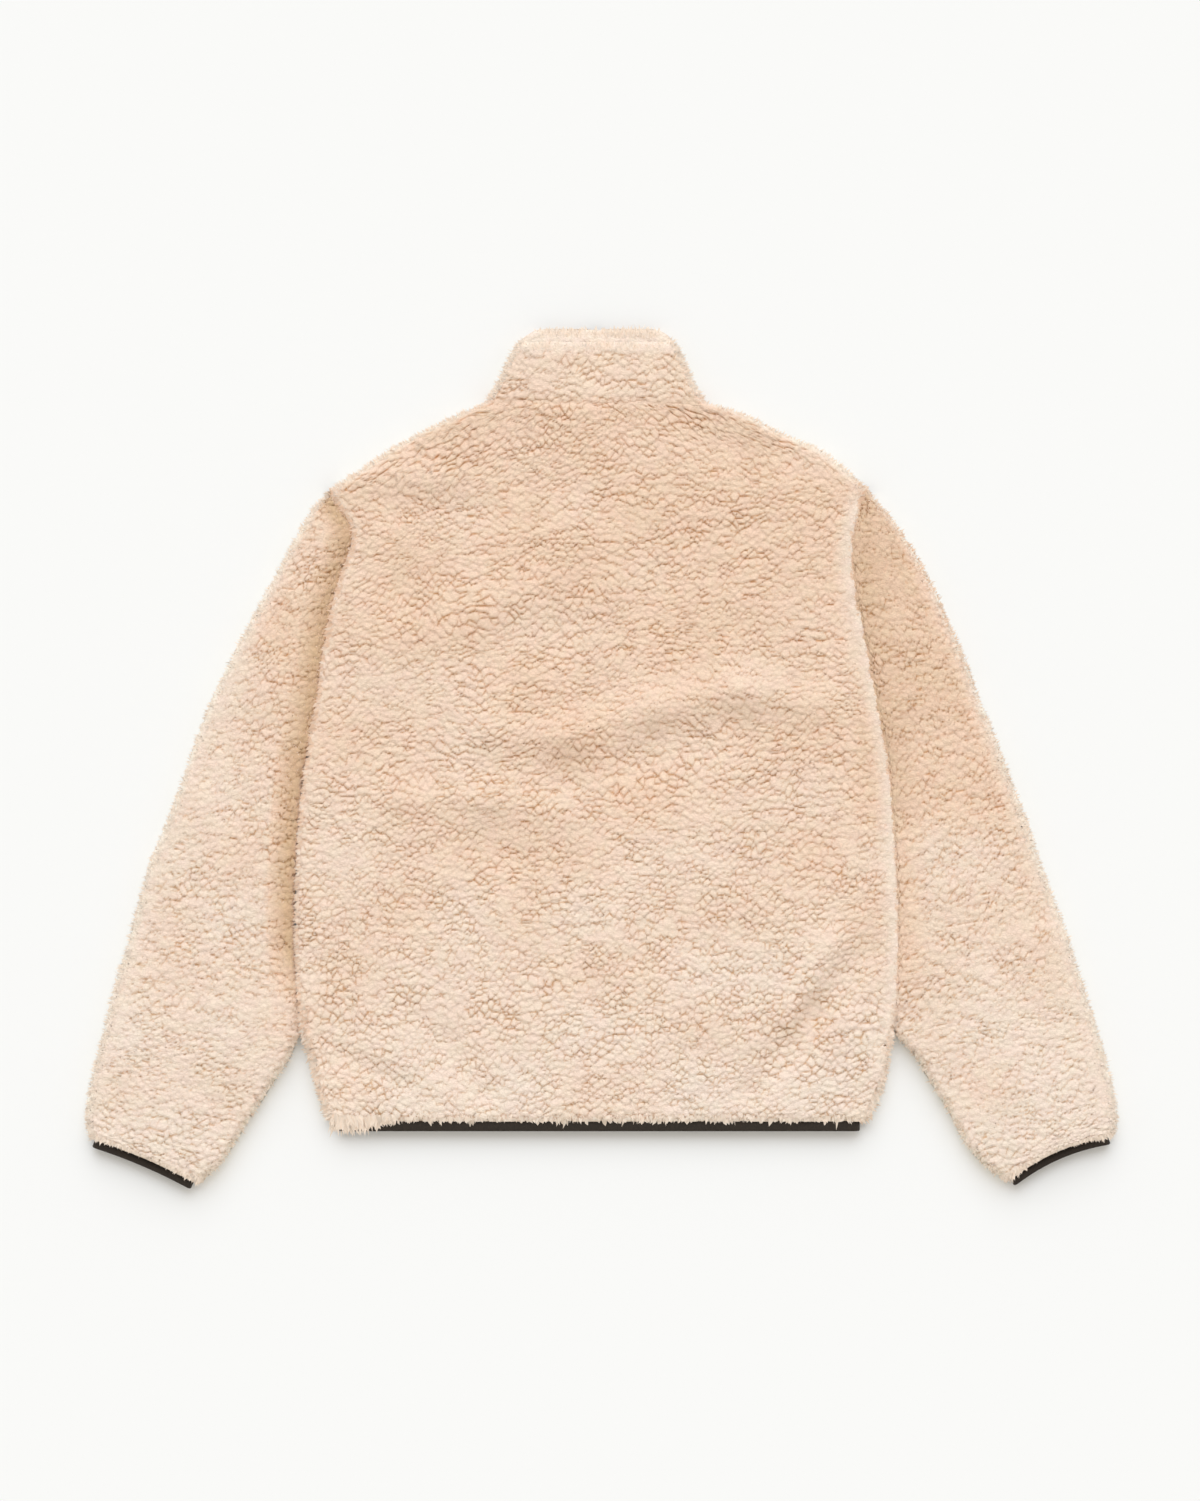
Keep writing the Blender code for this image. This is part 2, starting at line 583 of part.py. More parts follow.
def cuff_binding(side, inner, outer):
    """A cuff's binding: a closed flattened ring along the cuff's line, with the same bow."""
    span = inner - outer
    width = np.linalg.norm(span)
    across = span / width
    down = np.array([-across[1], across[0], 0.0]) * (-1 if side == "left" else 1)
    ring = flattened_ring(CUFF_BINDING_INSET, width - CUFF_BINDING_INSET, 5)
    under = np.linspace(ring[-1, 0], ring[0, 0], 6)[1:-1]
    lay = np.concatenate([ring, np.stack([under, np.full_like(under, BINDING_UNDER_Z)], 1)])
    arch = CUFF_BOW[side] * (1 - (2 * lay[:, 0] / width - 1) ** 2)
    plan = outer + across * lay[:, :1] + down[:2] * (CUFF_GAP - arch)[:, None]
    path = np.concatenate([plan, lay[:, 1:]], 1)
    binding("cuff_binding_" + side, path, down, CUFF_BINDING_HEIGHT, closed=True)


def block(name, low, high, colour=None):
    """A box from its lowest to its highest corner; with no colour it is kept for cutting or joining."""
    low, high = np.array(low, float) * MM, np.array(high, float) * MM
    bpy.ops.mesh.primitive_cube_add(size=1, location=(low + high) / 2)
    piece = bpy.context.object
    piece.scale = high - low
    bpy.ops.object.transform_apply(location=True, rotation=False, scale=True)
    mesh = piece.data
    bpy.data.objects.remove(piece)
    mesh.name = name
    if colour is not None:
        return finish(name, mesh, colour, smooth=False, roughness=0.5)
    tool = bpy.data.objects.new(name, mesh)
    tool.hide_render = True
    tool.display_type = "WIRE"
    cutters.objects.link(tool)
    tool.parent = stand
    return tool


def combine(piece, tool, operation):
    """Join a tool to a piece, or cut it out of the piece."""
    modifier = piece.modifiers.new(tool.name, "BOOLEAN")
    modifier.object = tool
    modifier.operation = operation


def zip_fastener():
    """Tapes, closed teeth, retainer box, slider with its bail, and the pull tab hung in the bail."""
    x, chain, edge = FRONT_X, CHAIN_HALF_WIDTH, FRONT_HALF_GAP - SEAM_GAP
    foot = ZIP_FOOT_Y - BOX_LENGTH
    for side, sign in (("left", -1), ("right", 1)):
        near, far = sorted((x + sign * (chain + SEAM_GAP), x + sign * edge))
        block("zip_tape_" + side, (near, foot, TAPE_Z[0]), (far, ZIP_TOP_Y, TAPE_Z[1]), TAPE)
    block("zip_chain", (x - chain, ZIP_FOOT_Y, CHAIN_Z[0]), (x + chain, ZIP_TOP_Y, CHAIN_Z[1]), TAPE)
    block("zip_box", (x - chain, foot, BOX_Z[0]), (x + chain, ZIP_FOOT_Y - SEAM_GAP, BOX_Z[1]), TAPE)

    slider = block("zip_slider", (x - SLIDER_HALF_WIDTH, SLIDER_Y[0], SLIDER_Z[0]),
                   (x + SLIDER_HALF_WIDTH, SLIDER_Y[1], SLIDER_Z[1]), METAL)
    channel = block("slider_channel",
                    (x - 2 * SLIDER_HALF_WIDTH, SLIDER_Y[0] - 1, SLIDER_Z[0] + SLIDER_PLATE),
                    (x + 2 * SLIDER_HALF_WIDTH, SLIDER_BRIDGE_Y, SLIDER_Z[1] - SLIDER_PLATE))
    combine(slider, channel, "DIFFERENCE")
    bail = block("bail", (x - BAIL_HALF_WIDTH, BAIL_Y[0], BAIL_BOTTOM_Z),
                 (x + BAIL_HALF_WIDTH, BAIL_Y[1], SLIDER_Z[0] + SLIDER_PLATE / 2))
    combine(slider, bail, "UNION")
    eye = block("bail_eye", (x - 2, BAIL_Y[0] + BAIL_WIRE, BAIL_BOTTOM_Z + BAIL_WIRE),
                (x + 2, BAIL_Y[1] - BAIL_WIRE, SLIDER_Z[0]))
    combine(slider, eye, "DIFFERENCE")

    half = PULL_THICKNESS / 2
    tip = PULL_AXIS_Y - PULL_LENGTH
    pull = block("zip_pull", (x - PULL_HALF_WIDTH, tip, PULL_AXIS_Z - half),
                 (x + PULL_HALF_WIDTH, PULL_AXIS_Y + half, PULL_AXIS_Z + half), METAL)
    window = block("pull_window",
                   (x - PULL_WINDOW_HALF_WIDTH, PULL_AXIS_Y - PULL_WINDOW_LENGTH, PULL_AXIS_Z - 1),
                   (x + PULL_WINDOW_HALF_WIDTH, PULL_AXIS_Y - half, PULL_AXIS_Z + 1))
    combine(pull, window, "DIFFERENCE")
    # its origin is on the hinge's axis
    hinge = Vector((x, PULL_AXIS_Y, PULL_AXIS_Z)) * MM
    pull.data.transform(Matrix.Translation(-hinge))
    pull.location = hinge


for old in list(bpy.data.objects):
    bpy.data.objects.remove(old)
collection = bpy.data.collections.new("sherpa_jacket")
cutters = bpy.data.collections.new("cutters")
bpy.context.scene.collection.children.link(collection)
bpy.context.scene.collection.children.link(cutters)
stand = bpy.data.objects.new("laid_on_surface", None)
stand.location = Vector((-OUTLINE_CENTRE[0], -OUTLINE_CENTRE[1], 0)) * MM
collection.objects.link(stand)

body_levels = levels(BODY["y"], ROW_STEP)
back_panel(body_levels)
front_panels(body_levels)
for arm in ("left", "right"):
    cuff_inner, cuff_outer = sleeve(arm, body_levels)
    cuff_binding(arm, cuff_inner, cuff_outer)
collar()
hem_binding()
zip_fastener()
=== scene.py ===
"""A cream sherpa jacket laid flat on its front, with the back up and both sleeves drawn down beside it.

X runs across the jacket, Y from hem to collar and Z up. Sizes are in millimetres until a mesh is made.
Every cloth piece is a surface of two lengths: s across the piece, on round its rolled edges, and t along
it. The knitted backing is a thin closed shell a little under that surface, the curled pile is a dense
creased surface over the backing, and loose fibre tips stand free of it along the edges.
"""

import bpy
import numpy as np
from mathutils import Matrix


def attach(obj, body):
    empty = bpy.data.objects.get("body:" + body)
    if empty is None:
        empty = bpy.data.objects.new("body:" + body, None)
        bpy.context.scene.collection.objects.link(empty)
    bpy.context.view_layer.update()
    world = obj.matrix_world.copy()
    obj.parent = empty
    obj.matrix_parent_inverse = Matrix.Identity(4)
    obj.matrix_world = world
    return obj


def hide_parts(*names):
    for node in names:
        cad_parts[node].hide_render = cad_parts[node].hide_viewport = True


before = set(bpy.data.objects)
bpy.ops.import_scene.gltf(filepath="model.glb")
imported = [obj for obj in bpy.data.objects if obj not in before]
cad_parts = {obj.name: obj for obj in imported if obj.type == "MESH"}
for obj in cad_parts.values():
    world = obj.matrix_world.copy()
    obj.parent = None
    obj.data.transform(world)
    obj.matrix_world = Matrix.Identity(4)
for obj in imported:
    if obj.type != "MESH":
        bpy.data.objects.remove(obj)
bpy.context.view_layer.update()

# ----------------------------------------
# Back panel. The real one is a single piece of sherpa: a knitted polyester backing whose face yarn is
# brushed and tumbled into small curls. It is cut from neck to hem, and sewn to the fronts at shoulders
# and sides and to the sleeves between them.

MM = 0.001
RIGHT_ANGLE = np.pi / 2
TO_ORIGIN = np.array([0.5, 2.0, 0.0])  # the tables' middle goes to the origin
OUTWARD = {"left": -1, "right": 1}  # along X from the middle to each side
LAID = 18.0  # height of both layers as they lie
ROLL_LEVEL = 9.0  # height of the side, shoulder and underarm seams
WIDEST_ROLL = 2.2  # a slanting roll is at most this many radii wide
OVERTURN = 1.25  # past a seam the surface turns on to this share of a right angle
SEAM_DIP = 2.0  # how far the pile sinks towards an armhole seam,
SEAM_FALL = 0.22  # and past it, times the square of the way
EDGE_DIP = 4.0  # rounding of the pile at hem, cuffs and collar top,
NECK_DIP = 1.8  # at the neck seam,
UNDERSIDE_RISE = 2.5  # and on the lower side
EDGE_RUN = 9.0  # width of that rounding
NECK_SEAM_Y, HEM_Y = 336.0, -345.0
PILE = 2.8  # the backing lies this far under the tips of the curls
BACKING = 2.6  # thickness of the backing
BACK_PITCH = (7.9, 4.6)  # width and height of a curl


def table(columns, rows):
    """The named columns of a short table that has one row for each section."""
    return dict(zip(columns.split(), np.array(rows, dtype=float).T))


# The body's outline from hem to neck.
BODY = table("y left right", [
    (-345, -258, 252), (-342, -261, 255), (-336, -264, 258), (-311, -272, 268), (-285, -279, 273),
    (-265, -285, 277), (-230, -288, 279), (-160, -291, 281), (-100, -289, 279), (-50, -286, 276),
    (-2, -280, 272), (16, -276, 269), (56, -269, 261), (98, -263, 253), (137, -255, 245),
    (175, -245, 239), (197, -237, 237), (218, -235, 239), (232, -243, 242), (243, -251, 245),
    (249, -255, 248), (253, -255, 249), (273, -228, 231), (292, -200, 205), (311, -166, 162),
    (327, -132, 129), (333, -118, 108), (336, -111, 99)])

# A side is rolled (1) where back and front meet in its edge, at the shoulder and below the arm, and open
# (0) where the sleeve is set in.
ROLLED = {"left": ([-2, 16, 249, 253], [1, 0, 0, 1]), "right": ([-265, -230, 249, 253], [1, 0, 0, 1])}

# Folds of the back: soft ridges and troughs about straight lines, the largest first.
FOLDS = table("x0 y0 x1 y1 height half_width", [
    (-105, 24, -35, 20, 4.0, 19), (-35, 20, 50, 46, 5.0, 19), (50, 46, 130, 64, 6.0, 19),
    (130, 64, 205, 48, 4.5, 18), (-110, -14, -30, -22, -2.0, 20), (-30, -22, 140, 22, -2.5, 20),
    (-195, -38, -110, -38, 4.0, 18), (-110, -38, -48, -50, 3.5, 18), (-160, -88, -60, -98, -2.0, 20),
    (-210, 112, -50, 165, 3.5, 22), (-116, 96, 0, 126, -2.0, 22), (-225, 266, -140, 262, 3.5, 16),
    (-196, 236, -110, 230, -2.0, 18), (80, 304, 180, 276, -2.5, 20), (252, -186, 200, -243, -4.5, 16),
    (200, -243, 142, -318, -4.5, 16), (216, -176, 176, -246, 5.0, 17), (-170, -250, -114, -318, -3.5, 16),
    (-245, -285, -188, -310, -2.5, 10), (-215, -270, -160, -315, 1.2, 12), (214, -185, 178, -248, 1.5, 13),
    (235, -245, 200, -300, 1.5, 12), (46, -130, 46, -325, 1.0, 10), (-32, -150, -32, -320, 0.8, 12),
    (137, 113, 139, 115, -1.5, 22)])


def on_curve(rows, key, at, by="y"):
    """A column of a table at the values `at` of its column `by`.

    A cubic joins each two rows, and its slope at a row is that of the row's two neighbours.
    """
    order = np.argsort(rows[by])
    x, f = rows[by][order], rows[key][order]
    slope = np.gradient(f, x)
    at = np.asarray(at, dtype=float)
    k = np.clip(np.searchsorted(x, at, side="right") - 1, 0, len(x) - 2)
    run = x[k + 1] - x[k]
    t = np.clip((at - x[k]) / run, 0, 1)
    return ((1 + 2 * t) * (1 - t) ** 2 * f[k] + t * (1 - t) ** 2 * run * slope[k]
            + t ** 2 * (3 - 2 * t) * f[k + 1] - t ** 2 * (1 - t) * run * slope[k + 1])


def slanted(side, y):
    """Width of a roll along X at a side of the body: its radius over the cosine of the edge's slant."""
    slope = (on_curve(BODY, side, y + 3) - on_curve(BODY, side, y - 3)) / 6
    return ROLL_LEVEL * np.minimum(np.sqrt(1 + slope ** 2), WIDEST_ROLL)


def quarter(width, height=ROLL_LEVEL):
    """Length of a quarter of an ellipse with these half axes, from their root mean square."""
    return RIGHT_ANGLE * np.sqrt((width ** 2 + height ** 2) / 2)


def rise(value, start, end):
    """From 0 at `start` straight to 1 at `end`, which may be the lesser of the two."""
    return np.clip((value - start) / (end - start), 0, 1)


def fold_height(x, y):
    """Sum over the folds of height times exp(-(distance from the fold's line / half width)^2)."""
    total = np.zeros(np.broadcast(x, y).shape)
    for x0, y0, x1, y1, height, half_width in zip(*FOLDS.values()):
        run_x, run_y = x1 - x0, y1 - y0
        t = np.clip(((x - x0) * run_x + (y - y0) * run_y) / (run_x ** 2 + run_y ** 2), 0, 1)
        apart = (x - x0 - t * run_x) ** 2 + (y - y0 - t * run_y) ** 2
        total += height * np.exp(-apart / half_width ** 2)
    return total


def edge_round(distance):
    """From 1 at an edge to 0 at EDGE_RUN from it, along a quarter of a circle."""
    return 1 - np.sqrt(1 - rise(distance, EDGE_RUN, 0) ** 2)


def body_layer(s, y):
    """X, share of a roll's turn (0 flat, 1 at the seam), kind of edge and way past an open edge."""
    on_left, out = s < 0, np.where(s < 0, -1, 1)
    edge = np.where(on_left, -on_curve(BODY, "left", y), on_curve(BODY, "right", y))
    wide = np.where(on_left, slanted("left", y), slanted("right", y))
    rolled = np.where(on_left, np.interp(y, *ROLLED["left"]), np.interp(y, *ROLLED["right"]))
    over = (out * s - edge + wide) / quarter(wide)
    angle = np.clip(over, 0, OVERTURN) * RIGHT_ANGLE
    angle = np.where(rolled < 0.5, np.minimum(angle, RIGHT_ANGLE), angle)
    past = (1 - rolled) * np.maximum(over - 1, 0) * quarter(wide)
    x = np.where(over > 0, out * (edge - wide * (1 - np.sin(angle)) + past), s)
    return x, 1 - np.cos(np.minimum(angle, RIGHT_ANGLE)), rolled, past


def body_ends(y):
    """The least and the greatest s of the row at y."""
    wide_left, wide_right = slanted("left", y), slanted("right", y)
    return (on_curve(BODY, "left", y) + wide_left - quarter(wide_left),
            on_curve(BODY, "right", y) - wide_right + quarter(wide_right))


def back_surface(s, y):
    """The back's upper side: flat but for the folds, and rolled down to the seams at its sides."""
    x, turn, rolled, past = body_layer(s, y)
    crest = (LAID + fold_height(x, y) - EDGE_DIP * edge_round(y - HEM_Y)
             - NECK_DIP * edge_round(NECK_SEAM_Y - y))
    drop = rolled * (crest - ROLL_LEVEL) + (1 - rolled) * SEAM_DIP
    return np.stack([x, y + 0 * x, crest - drop * turn - SEAM_FALL * past ** 2], -1)


def unit(vectors):
    """The same directions with a length of 1."""
    return vectors / np.maximum(np.linalg.norm(vectors, axis=-1), 1e-9)[..., None]


def normals(surface, s, t, facing):
    """Unit normals: the cross product of the surface's steps of half a millimetre in s and in t."""
    h = 0.5
    along_s, along_t = surface(s + h, t) - surface(s - h, t), surface(s, t + h) - surface(s, t - h)
    return unit(facing * np.cross(along_s, along_t))


def soft_noise(x, y, size, seed):
    """Smooth random heights from -1 to 1: random values on a square lattice, joined by an S-curve.

    The lattice repeats after 128 cells, and its middle lies by the origin, which is inside a cell.
    """
    values = np.random.default_rng(seed).uniform(-1, 1, (128, 128))
    u, v = np.asarray(x) / size + 64.37, np.asarray(y) / size + 64.71
    i, j = np.floor(u).astype(int), np.floor(v).astype(int)
    a, b = u - i, v - j
    a, b = a * a * (3 - 2 * a), b * b * (3 - 2 * b)
    at = lambda di, dj: values[(i + di) % 128, (j + dj) % 128]
    return (at(0, 0) * (1 - a) + at(1, 0) * a) * (1 - b) + (at(0, 1) * (1 - a) + at(1, 1) * a) * b


def brushed(s, t, seed):
    """How open the creases are: about 1 where the curls are tight, less where the pile is brushed flat."""
    patches = 0.6 * soft_noise(s, 1.3 * t, 40, seed) + 0.4 * soft_noise(s, 2.2 * t, 19, seed + 1)
    return np.clip(0.88 + 0.32 * patches, 0.55, 1.05)


# How pale the pile is along Y: paler towards hem, cuffs and collar.
PALE_BY_Y = ([-400, -300, -180, 40, 200, 330, 345, 380, 400], [0.95, 0.8, 0.5, 0.1, 0, 0, 0.45, 0.55, 1.2])


def paleness(x, y):
    """How pale (to 1) or brown (to -1) the pile is: the left sleeve is paler, and the right sleeve by the
    armhole browner with painted shade.
    """
    down = np.interp(y, *PALE_BY_Y)
    left_sleeve = 0.55 * rise(x, -300, -360)
    # painted shade where the right sleeve dips towards the armhole
    right_armhole_shade = -0.6 * rise(x, 235, 250) * rise(y, -80, 40)
    return down + (1 - down) * left_sleeve + right_armhole_shade + 0.3 * soft_noise(x, y, 55, 5)


def placed(name, data):
    """An object of the scene, at the origin and unturned."""
    made = bpy.data.objects.new(name, data)
    bpy.context.scene.collection.objects.link(made)
    return made


def put(name, points, faces, attributes=(), shading=None):
    """A mesh object from points in millimetres and from arrays of faces, each with one size of face.

    `shading` gives the points other normals than those of their faces.
    """
    mesh = bpy.data.meshes.new(name)
    points = (points.reshape(-1, 3) + TO_ORIGIN) * MM
    loops = np.concatenate([f.ravel() for f in faces])
    sizes = np.concatenate([np.full(len(f), f.shape[1]) for f in faces])
    mesh.vertices.add(len(points))
    mesh.vertices.foreach_set("co", points.ravel())
    mesh.loops.add(len(loops))
    mesh.loops.foreach_set("vertex_index", loops.astype(np.int32))
    mesh.polygons.add(len(sizes))
    mesh.polygons.foreach_set("loop_start", (np.cumsum(sizes) - sizes).astype(np.int32))
    mesh.update(calc_edges=True)
    mesh.validate()
    mesh.shade_smooth()
    for key, values in dict(attributes).items():
        values = values.ravel().astype(np.float32)
        mesh.attributes.new(key, "FLOAT", "POINT").data.foreach_set("value", values)
    if shading is not None:
        mesh.normals_split_custom_set_from_vertices(shading.reshape(-1, 3))
    return placed(name, mesh)


def quads(index, flip=False):
    """Quads between the neighbours in a grid of point numbers, turned over with `flip`."""
    faces = np.stack([index[:-1, :-1], index[:-1, 1:], index[1:, 1:], index[1:, :-1]], -1).reshape(-1, 4)
    return faces[:, ::-1] if flip else faces


def grid(ends, t, columns, past=(0.0, 0.0)):
    """Two-dimensional s and t: each row runs between its ends, or so much past them."""
    low, high = ends(t)
    low, high = low - past[0], high + past[1]
    s = low[:, None] + (high - low)[:, None] * np.linspace(0, 1, columns)
    return s, np.repeat(t[:, None], columns, 1)


def sewn(piece, material, slot, *nodes):
    """Give a piece its material, let it ride with the jacket and stand for the CAD nodes. `slot` is not used.
    """
    piece.data.materials.append(material)
    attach(piece, "jacket")
    if nodes:
        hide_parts(*nodes)
    return piece


def backing(name, stands_for, surface, ends, t, columns, facing, shown=0.0):
    """A closed thin shell: the surface less the pile, the same less the backing, and a rim all round.

    It is painted as brown as the shade at the bottom of a crease, or with `shown` at 1 as pale as the pile.
    """
    s, t = grid(ends, t, columns)
    skin, out = surface(s, t), normals(surface, s, t, facing)
    points = np.stack([skin - out * PILE, skin - out * (PILE + BACKING)])
    count = s.size
    index = np.arange(count).reshape(s.shape)
    loop = np.concatenate([index[0, :-1], index[:-1, -1], index[-1, :0:-1], index[:0:-1, 0]])
    ahead = np.roll(loop, -1)
    rim = np.stack([ahead, loop, loop + count, ahead + count], 1)
    flip = facing < 0
    faces = [quads(index, flip), quads(index + count, not flip), rim[:, ::-1] if flip else rim]
    pale = paleness(points[..., 0], points[..., 1])
    shell = put(name, points, faces, {"crease": 0 * pale + shown, "pale": pale, "rim": 0 * pale})
    return sewn(shell, fleece, "sherpa_fleece", stands_for)


CREASE_WIDTH, CREASE_DEPTH = 0.7, 2.1
CURL_LIFT = 1.1  # how much higher a curl's lower end stands than its middle


def curl_relief(s, t, pitch, seed, sideways, downward):
    """Height inside a curl (-0.7 to 0.7) and depth of the crease beside it, at the flat lengths s and t.

    The curls are the cells of a jittered brick lattice of points: each place belongs to its nearest
    point. A crease follows the border between two cells, as exp(-distance / width), at its full depth
    where it runs across the piece and at the share `sideways` of it where it runs down. A finer noise
    lets it fade out along its length. The height grows towards a curl's lower end, like a shingle.
    """
    across, along = pitch
    n = 256  # the lattice repeats after so many curls
    random = np.random.default_rng(seed)
    shifts = random.uniform(-0.4, 0.4, (2, n, n))
    sizes = random.uniform(-0.22, 0.22, (n, n)) * across * along
    warped_s = s + 7 * soft_noise(s, t, 60, seed + 2) + 1.6 * soft_noise(s, t, 9, seed + 8)
    warped_t = (t + 9 * soft_noise(s, t, 75, seed + 3) + 3.5 * soft_noise(s, t, 26, seed + 4)
                + 1.3 * soft_noise(s, 1.5 * t, 10, seed + 5))
    row = np.floor(warped_t / along).astype(int)
    sites = []
    for j in (row - 1, row, row + 1):
        offset = 0.5 * (j % 2)
        first = np.floor(warped_s / across - offset).astype(int)
        for i in (first - 1, first, first + 1, first + 2):
            cell = i % n, j % n
            sites.append(((i + offset + shifts[0][cell]) * across,
                          (j + 0.5 + 0.8 * shifts[1][cell]) * along, sizes[cell]))
    site_s, site_t, size = (np.stack(part) for part in zip(*sites))
    apart = (warped_s - site_s) ** 2 + (warped_t - site_t) ** 2 - size
    nearest = apart.argmin(0)[None]
    own_s, own_t, least = (np.take_along_axis(of, nearest, 0) for of in (site_s, site_t, apart))
    gap_s, gap_t = site_s - own_s, site_t - own_t
    gap = np.maximum(np.hypot(gap_s, gap_t), 1e-3)
    share = sideways + (1 - sideways) * np.abs(gap_t / gap) ** 1.5
    crease = np.where(apart > least, share * np.exp(-(apart - least) / (2 * gap) / CREASE_WIDTH), 0).max(0)
    fading = np.clip(0.95 + 0.8 * soft_noise(0.6 * s, t, 6, seed + 6), 0.25, 1.3)
    lower = np.clip(downward * (warped_t - own_t[0]) / along, -0.7, 0.7)
    return lower, crease * fading


def pile(name, surface, s, t, facing, pitch, seed, calm=0.0, painted_groove_shadow=0.0, free=1.0, sideways=0.45,
         downward=-1, parts=1, floor=None):
    """The curled pile as a list of meshes: the surface at the grid of s and t, raised and creased by curls.

    Where `calm` is 1 the pile is brushed smooth and paler, in part painted light on the raised edges where
    it lies; the armhole groove's painted shadow is added to its paleness. Where the surface turns down at a
    free edge (`free` is 1) its colour is painted paler and greyer, painted light for the light that comes
    through its fibres.
    """
    lower, crease = curl_relief(s, t, pitch, seed, sideways, downward)
    openness = brushed(s, t, seed) * (1 - calm)
    crease = crease * openness
    height = (CURL_LIFT * lower * openness - CREASE_DEPTH * crease + 0.5 * soft_noise(s, t, 17, seed + 7)
              + 0.35 * soft_noise(s, t, 4.5, seed + 9) + 0.9 * calm * soft_noise(s, t, 7, seed + 10))
    skin, out = surface(s, t), normals(surface, s, t, facing)
    points = skin + out * height[..., None]
    if floor is not None:
        points[..., 2] = np.maximum(points[..., 2], floor)
    pale = paleness(skin[..., 0], skin[..., 1])
    pale = pale + (1 - pale) * calm + painted_groove_shadow
    # painted light on the free edges that turn down
    rim = np.clip(1.28 - 1.36 * out[..., 2] + 0.2 * calm, 0, 1) * free
    # painted shade in the creases, kept as "crease": 0 at the bottom of a crease, 1 on the open pile
    lit = 1 - np.clip(crease, 0, 1)
    made = []
    edges = np.linspace(0, len(t) - 1, parts + 1).astype(int)
    for k in range(parts):
        rows = slice(edges[k], edges[k + 1] + 1)
        index = np.arange(s[rows].size).reshape(s[rows].shape)
        part = put(f"{name}_{k + 1}", points[rows], [quads(index, facing < 0)],
                   {"crease": lit[rows], "pale": pale[rows], "rim": rim[rows]})
        made.append(sewn(part, fleece, "sherpa_fleece"))
    return made


def linear(colour):
    """The linear values of a colour that is written in sRGB hex."""
    c = np.array([int(colour[k:k + 2], 16) for k in (1, 3, 5)]) / 255
    return (*np.where(c <= 0.04045, c / 12.92, ((c + 0.055) / 1.055) ** 2.4), 1.0)


def node(tree, kind, *inputs, **settings):
    """Add a node: `inputs` go to its first sockets, `settings` to its properties or sockets of that name.

    For a node its first output in use is linked, and for an output that one.
    """
    made = tree.nodes.new("ShaderNode" + kind)
    for key, value in [*settings.items(), *enumerate(inputs)]:
        if isinstance(key, str) and hasattr(made, key):
            setattr(made, key, value)
            continue
        socket = made.inputs[key.replace("_", " ") if isinstance(key, str) else key]
        if isinstance(value, bpy.types.Node):
            value = next(output for output in value.outputs if output.enabled)
        if isinstance(value, bpy.types.NodeSocket):
            tree.links.new(value, socket)
        else:
            socket.default_value = value
    return made


def attribute(tree, name):
    return node(tree, "Attribute", attribute_name=name).outputs["Fac"]


def new_material(name):
    """An empty node material, its tree and the place on the object, in metres."""
    material = bpy.data.materials.new(name)
    material.use_nodes = True
    tree = material.node_tree
    tree.nodes.clear()
    return material, tree, node(tree, "TexCoord").outputs["Object"]


def noise(tree, place, scale, detail, **settings):
    return node(tree, "TexNoise", Vector=place, Scale=scale, Detail=detail, **settings)


def ramp(tree, source, colours, at=(0.0, 1.0)):
    """A ramp between two colours, sRGB hex or linear, which are reached where the source is `at`."""
    made = node(tree, "ValToRGB", source)
    for stop, colour, position in zip(made.color_ramp.elements, colours, at):
        stop.color, stop.position = linear(colour) if isinstance(colour, str) else colour, position
    return made


def mix(tree, factor, a, b):
    """The colour a mixed with b."""
    return node(tree, "Mix", data_type="RGBA", Factor=factor, A=a, B=b)


def principled(tree, **settings):
    """The material's shader, linked to its output."""
    node(tree, "OutputMaterial", node(tree, "BsdfPrincipled", **settings))


# Sherpa fleece: brushed, curled polyester pile. It is fully matt, with a soft bright rim of loose
# fibres from its sheen and from painted rim light, and painted shade makes it warmer and browner in the
# creases.
fleece, tree, place = new_material("curled_polyester_pile")
crease, rim, pale = (attribute(tree, name) for name in ("crease", "rim", "pale"))

# Each ramp goes from the painted shade at the bottom of a crease to the open pile; shaded_tan is a
# painted shade copy of the pile's colour and lit_through a painted light copy.
curled = ramp(tree, crease, ("#D39A6A", "#F2D5BC"), (0.0, 0.8))
brushed_open = ramp(tree, crease, ("#DFB58D", "#F5E3D2"), (0.0, 0.75))
shaded_tan = ramp(tree, crease, ("#AA7C50", "#DAB895"), (0.0, 0.7))
lit_through = ramp(tree, crease, ("#E8D8BC", "#FAF3E4"))
paler = mix(tree, node(tree, "MapRange", pale), curled, brushed_open)
# painted shade: where the paleness is below 0, chiefly in the armhole grooves and on the right sleeve by the
# armhole, the colour goes to shaded_tan
with_painted_shade = mix(tree, node(tree, "MapRange", pale, From_Max=-2.0), paler, shaded_tan)
# painted light: where the pile turns down at a free edge, the colour goes to the paler, greyer lit_through
with_painted_rim_light = mix(tree, rim, with_painted_shade, lit_through)

# Small tufts of about 4 x 2.5 mm, with bent borders, raise the pile, and painted shade darkens their borders
# and lightens their middles.
wavy = noise(tree, place, 160.0, 1.0)
warp = node(tree, "VectorMath", wavy.outputs["Color"], operation="SCALE", Scale=0.006)
bent = node(tree, "VectorMath", place, warp, operation="ADD")
tufts = node(tree, "Mapping", bent, Scale=(230.0, 390.0, 300.0))
cells = node(tree, "TexVoronoi", Vector=tufts, feature="DISTANCE_TO_EDGE", Scale=1.0)
between = node(tree, "MapRange", cells, From_Max=0.22)
small_shade = node(tree, "MapRange", between, To_Min=0.955, To_Max=1.06)

